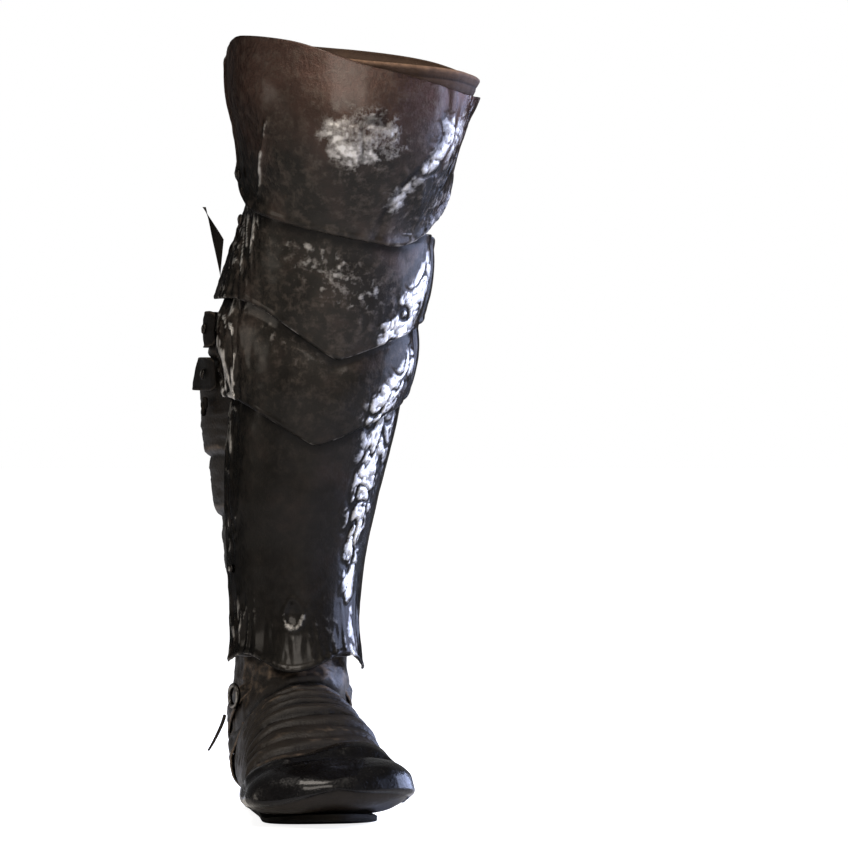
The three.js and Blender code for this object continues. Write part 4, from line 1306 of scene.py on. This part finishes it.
def knot(name, at, side, up, out, size, thick):
    """A trefoil carried round by a circle: the middle line is (sin t + 2 sin 2t, cos t - 2 cos 2t)."""

    def line(t):
        flat = size / 3 * np.stack([np.sin(t) + 2 * np.sin(2 * t), np.cos(t) - 2 * np.cos(2 * t)], axis=-1)
        return flat[..., :1] * side + flat[..., 1:] * up - (0.62 * thick * np.sin(3 * t))[..., None] * out

    section, turn = np.meshgrid(full_turn(14), full_turn(180))
    tangent = line(turn + 0.01) - line(turn - 0.01)
    first = np.cross(tangent, out)
    first /= np.linalg.norm(first, axis=-1, keepdims=True)
    second = np.cross(tangent, first)
    second /= np.linalg.norm(second, axis=-1, keepdims=True)
    circle = np.cos(section)[..., None] * first + np.sin(section)[..., None] * second
    grid = at + line(turn) + thick * circle
    marks = {"rub_and_highlight": 0.6 * between(np.cos(5 * turn + section), 0, 1), "creased": 0 * turn}
    return tube(name, grid, strap_leather, marks, ring=True)


thong_knot = knot("thong_knot_leather", *leg_axes(deg(-98), 307.0, 18.5), 7.0, 1.5)

ankle_out = foot_point(*ANKLE_PLACE, 1.0) - foot_point(*ANKLE_PLACE, 0.0)
ankle_side = np.cross([0, 0, 1.0], ankle_out)
ankle_side /= np.linalg.norm(ankle_side)
ankle_ring = ring(
    "ankle_ring_iron", foot_point(*ANKLE_PLACE, 6.8), ankle_side,
    np.cross(ankle_out, ankle_side), ankle_out, 8, 1.9, fitting_iron,
)

# %% [markdown]
# ## Join the frame
#
# Each new piece rides on the one body and stands for its CAD node, and the table lists the slot
# of the record that its finish belongs to. Nothing of the plain CAD is left showing.
# %% Ride and replace, with the slots listed

PIECES = {
    "knee_plate": (knee_plate, "black_iron"), "upper_lame": (upper_lame, "black_iron"),
    "lower_lame": (lower_lame, "black_iron"), "shin_plate": (shin_plate, "black_iron"),
    "boot_shaft": (boot_shaft, "boot_leather"), "foot_upper": (foot_upper, "boot_leather"),
    "heel_band_lower": (heel_lower, "boot_leather"), "heel_band_upper": (heel_upper, "boot_leather"),
    "toe_cap": (toe_cap, "toe_leather"), "sole": (sole, "sole_leather"),
    "thigh_cuff": (thigh_cuff, "cuff_leather"), "knee_strap": (knee_strap, "strap_leather"),
    "knee_strap_end": (knee_strap_end, "strap_leather"), "upper_calf_strap": (upper_strap, "strap_leather"),
    "lower_calf_strap": (lower_strap, "strap_leather"), "strap_keeper": (strap_keeper, "strap_leather"),
    "thong_knot": (thong_knot, "strap_leather"), "ankle_tie_end": (ankle_tie_end, "strap_leather"),
    "ankle_ring": (ankle_ring, "fitting_iron"), "buckle_frame": (buckle_frame, "fitting_iron"),
    "buckle_tongue": (buckle_tongue, "fitting_iron"),
    **{node: (piece, "fitting_iron") for node, piece in rivets.items()},
}
for node, (piece, slot) in PIECES.items():
    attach(piece, "root")
    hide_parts(node)
print("pieces:", len(PIECES), "CAD nodes left:", sorted(set(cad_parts) - set(PIECES)))

# %% [markdown]
# ## Studio
#
# The leg stands on a wide pale floor under an even pale sky. Dark, glossy iron shows its shape
# by what it mirrors, so one wide cool softbox stands on the inner side, a little behind, and
# draws the bright edge; a warm one in front models the knee, one overhead the instep and the toe,
# and a small weak one models the outer side.
# The paper and the sky look whiter to the camera than the light that they give, as in a product
# studio, where the backdrop has lamps of its own.
# %% Floor


def floor_piece():
    """A disc of 20 m radius, far wider than what the camera sees."""
    around, radius = full_turn(64), 20
    rim = np.stack([radius * np.cos(around), radius * np.sin(around), 0 * around], axis=-1)
    mesh = bpy.data.meshes.new("studio_floor")
    mesh.from_pydata(rim.tolist(), [], [list(range(len(rim)))])
    made = bpy.data.objects.new("studio_floor", mesh)
    bpy.context.scene.collection.objects.link(made)
    return made


floor = floor_piece()
paper, paper_tree, paper_place = new_material("White studio paper")
paper_grain = add(paper_tree, "TexNoise", {"Vector": paper_place, "Scale": per_mm(3), "Detail": 2})
paper_bump = add(paper_tree, "Bump", {"Height": paper_grain.outputs[0], "Strength": 0.05, "Distance": 0.0003})
paper_lit = add(
    paper_tree, "BsdfPrincipled",
    {"Base Color": srgb("eeeeed"), "Roughness": 0.9, "Normal": paper_bump.outputs[0]},
)
paper_seen = add(paper_tree, "LightPath").outputs["Is Camera Ray"]
paper_glow = add(paper_tree, "Math", {0: paper_seen, 1: 0.85}, operation="MULTIPLY").outputs[0]
paper_glow = add(paper_tree, "Emission", {"Color": srgb("ffffff"), "Strength": paper_glow})
paper_both = add(paper_tree, "AddShader", {0: paper_lit.outputs[0], 1: paper_glow.outputs[0]})
add(paper_tree, "OutputMaterial", {"Surface": paper_both.outputs[0]})
floor.data.materials.append(paper)
print("floor is 40 m across")

# %% Light


def softbox(name, degrees, elevation, distance, width, height, power, colour, aim=0.34):
    """An area light on a circle round the leg: 0 degrees is in front, 90 on the inner side."""
    turn, rise = math.radians(degrees), math.radians(elevation)
    target = Vector((0.02, -0.03, aim))
    flat = math.cos(rise)
    place = target + distance * Vector((math.sin(turn) * flat, -math.cos(turn) * flat, math.sin(rise)))
    light = bpy.data.lights.new(name, "AREA")
    light.shape, light.size, light.size_y = "RECTANGLE", width, height
    light.energy, light.color = power, srgb(colour)[:3]
    made = bpy.data.objects.new(name, light)
    made.location = place
    made.rotation_euler = (target - place).to_track_quat("-Z", "Y").to_euler()
    bpy.context.scene.collection.objects.link(made)


softbox("inner_softbox", 95, 5, 1.7, 1.8, 1.0, 104, "c6d4ff")
softbox("front_softbox", -8, 19, 2.0, 0.8, 0.7, 26, "fff6ec", aim=0.38)
softbox("high_softbox", -25, 62, 1.8, 0.8, 0.8, 44, "fff6ec")
softbox("outer_softbox", -84, 2, 1.8, 0.6, 0.36, 5.5, "fff4e6", aim=0.40)

world = bpy.data.worlds.new("pale_studio")
bpy.context.scene.world = world
world.use_nodes = True
sky = world.node_tree
sky.nodes.clear()
sky_lit = add(sky, "Background", {"Color": srgb("fbfbfc"), "Strength": 0.26})
sky_seen = add(sky, "Background", {"Color": srgb("ffffff"), "Strength": 1.0})
sky_share = add(sky, "LightPath").outputs["Is Camera Ray"]
sky_mixed = add(sky, "MixShader", {0: sky_share, 1: sky_lit.outputs[0], 2: sky_seen.outputs[0]})
add(sky, "OutputWorld", {"Surface": sky_mixed.outputs[0]})
bpy.context.scene.view_settings.view_transform = "Standard"

# %% [markdown]
# ## Camera
#
# A long lens stands 4.5 m off, 12 degrees to the outer side of the foot's direction and a little
# above the middle of the shin. It looks past the leg on its inner side, so the leg stands left
# of the middle of the frame.
# %% Camera

VIEW_TURN, VIEW_DISTANCE, VIEW_HEIGHT, VIEW_ASIDE = math.radians(12), 4.5, 0.317, 0.100
VIEW_DOWN = math.radians(0.309)
forward = Vector((math.sin(VIEW_TURN), math.cos(VIEW_TURN), 0))
rightwards = Vector((math.cos(VIEW_TURN), -math.sin(VIEW_TURN), 0))
camera = bpy.data.objects.new("camera", bpy.data.cameras.new("camera"))
camera.data.sensor_width = 36
camera.data.lens = 252.2
camera.data.clip_end = 100
camera.location = rightwards * VIEW_ASIDE - forward * VIEW_DISTANCE + Vector((0, 0, VIEW_HEIGHT))
looking = forward * math.cos(VIEW_DOWN) - Vector((0, 0, math.sin(VIEW_DOWN)))
camera.rotation_euler = looking.to_track_quat("-Z", "Y").to_euler()
bpy.context.scene.collection.objects.link(camera)
bpy.context.scene.camera = camera
print("camera at", [round(c, 3) for c in camera.location])
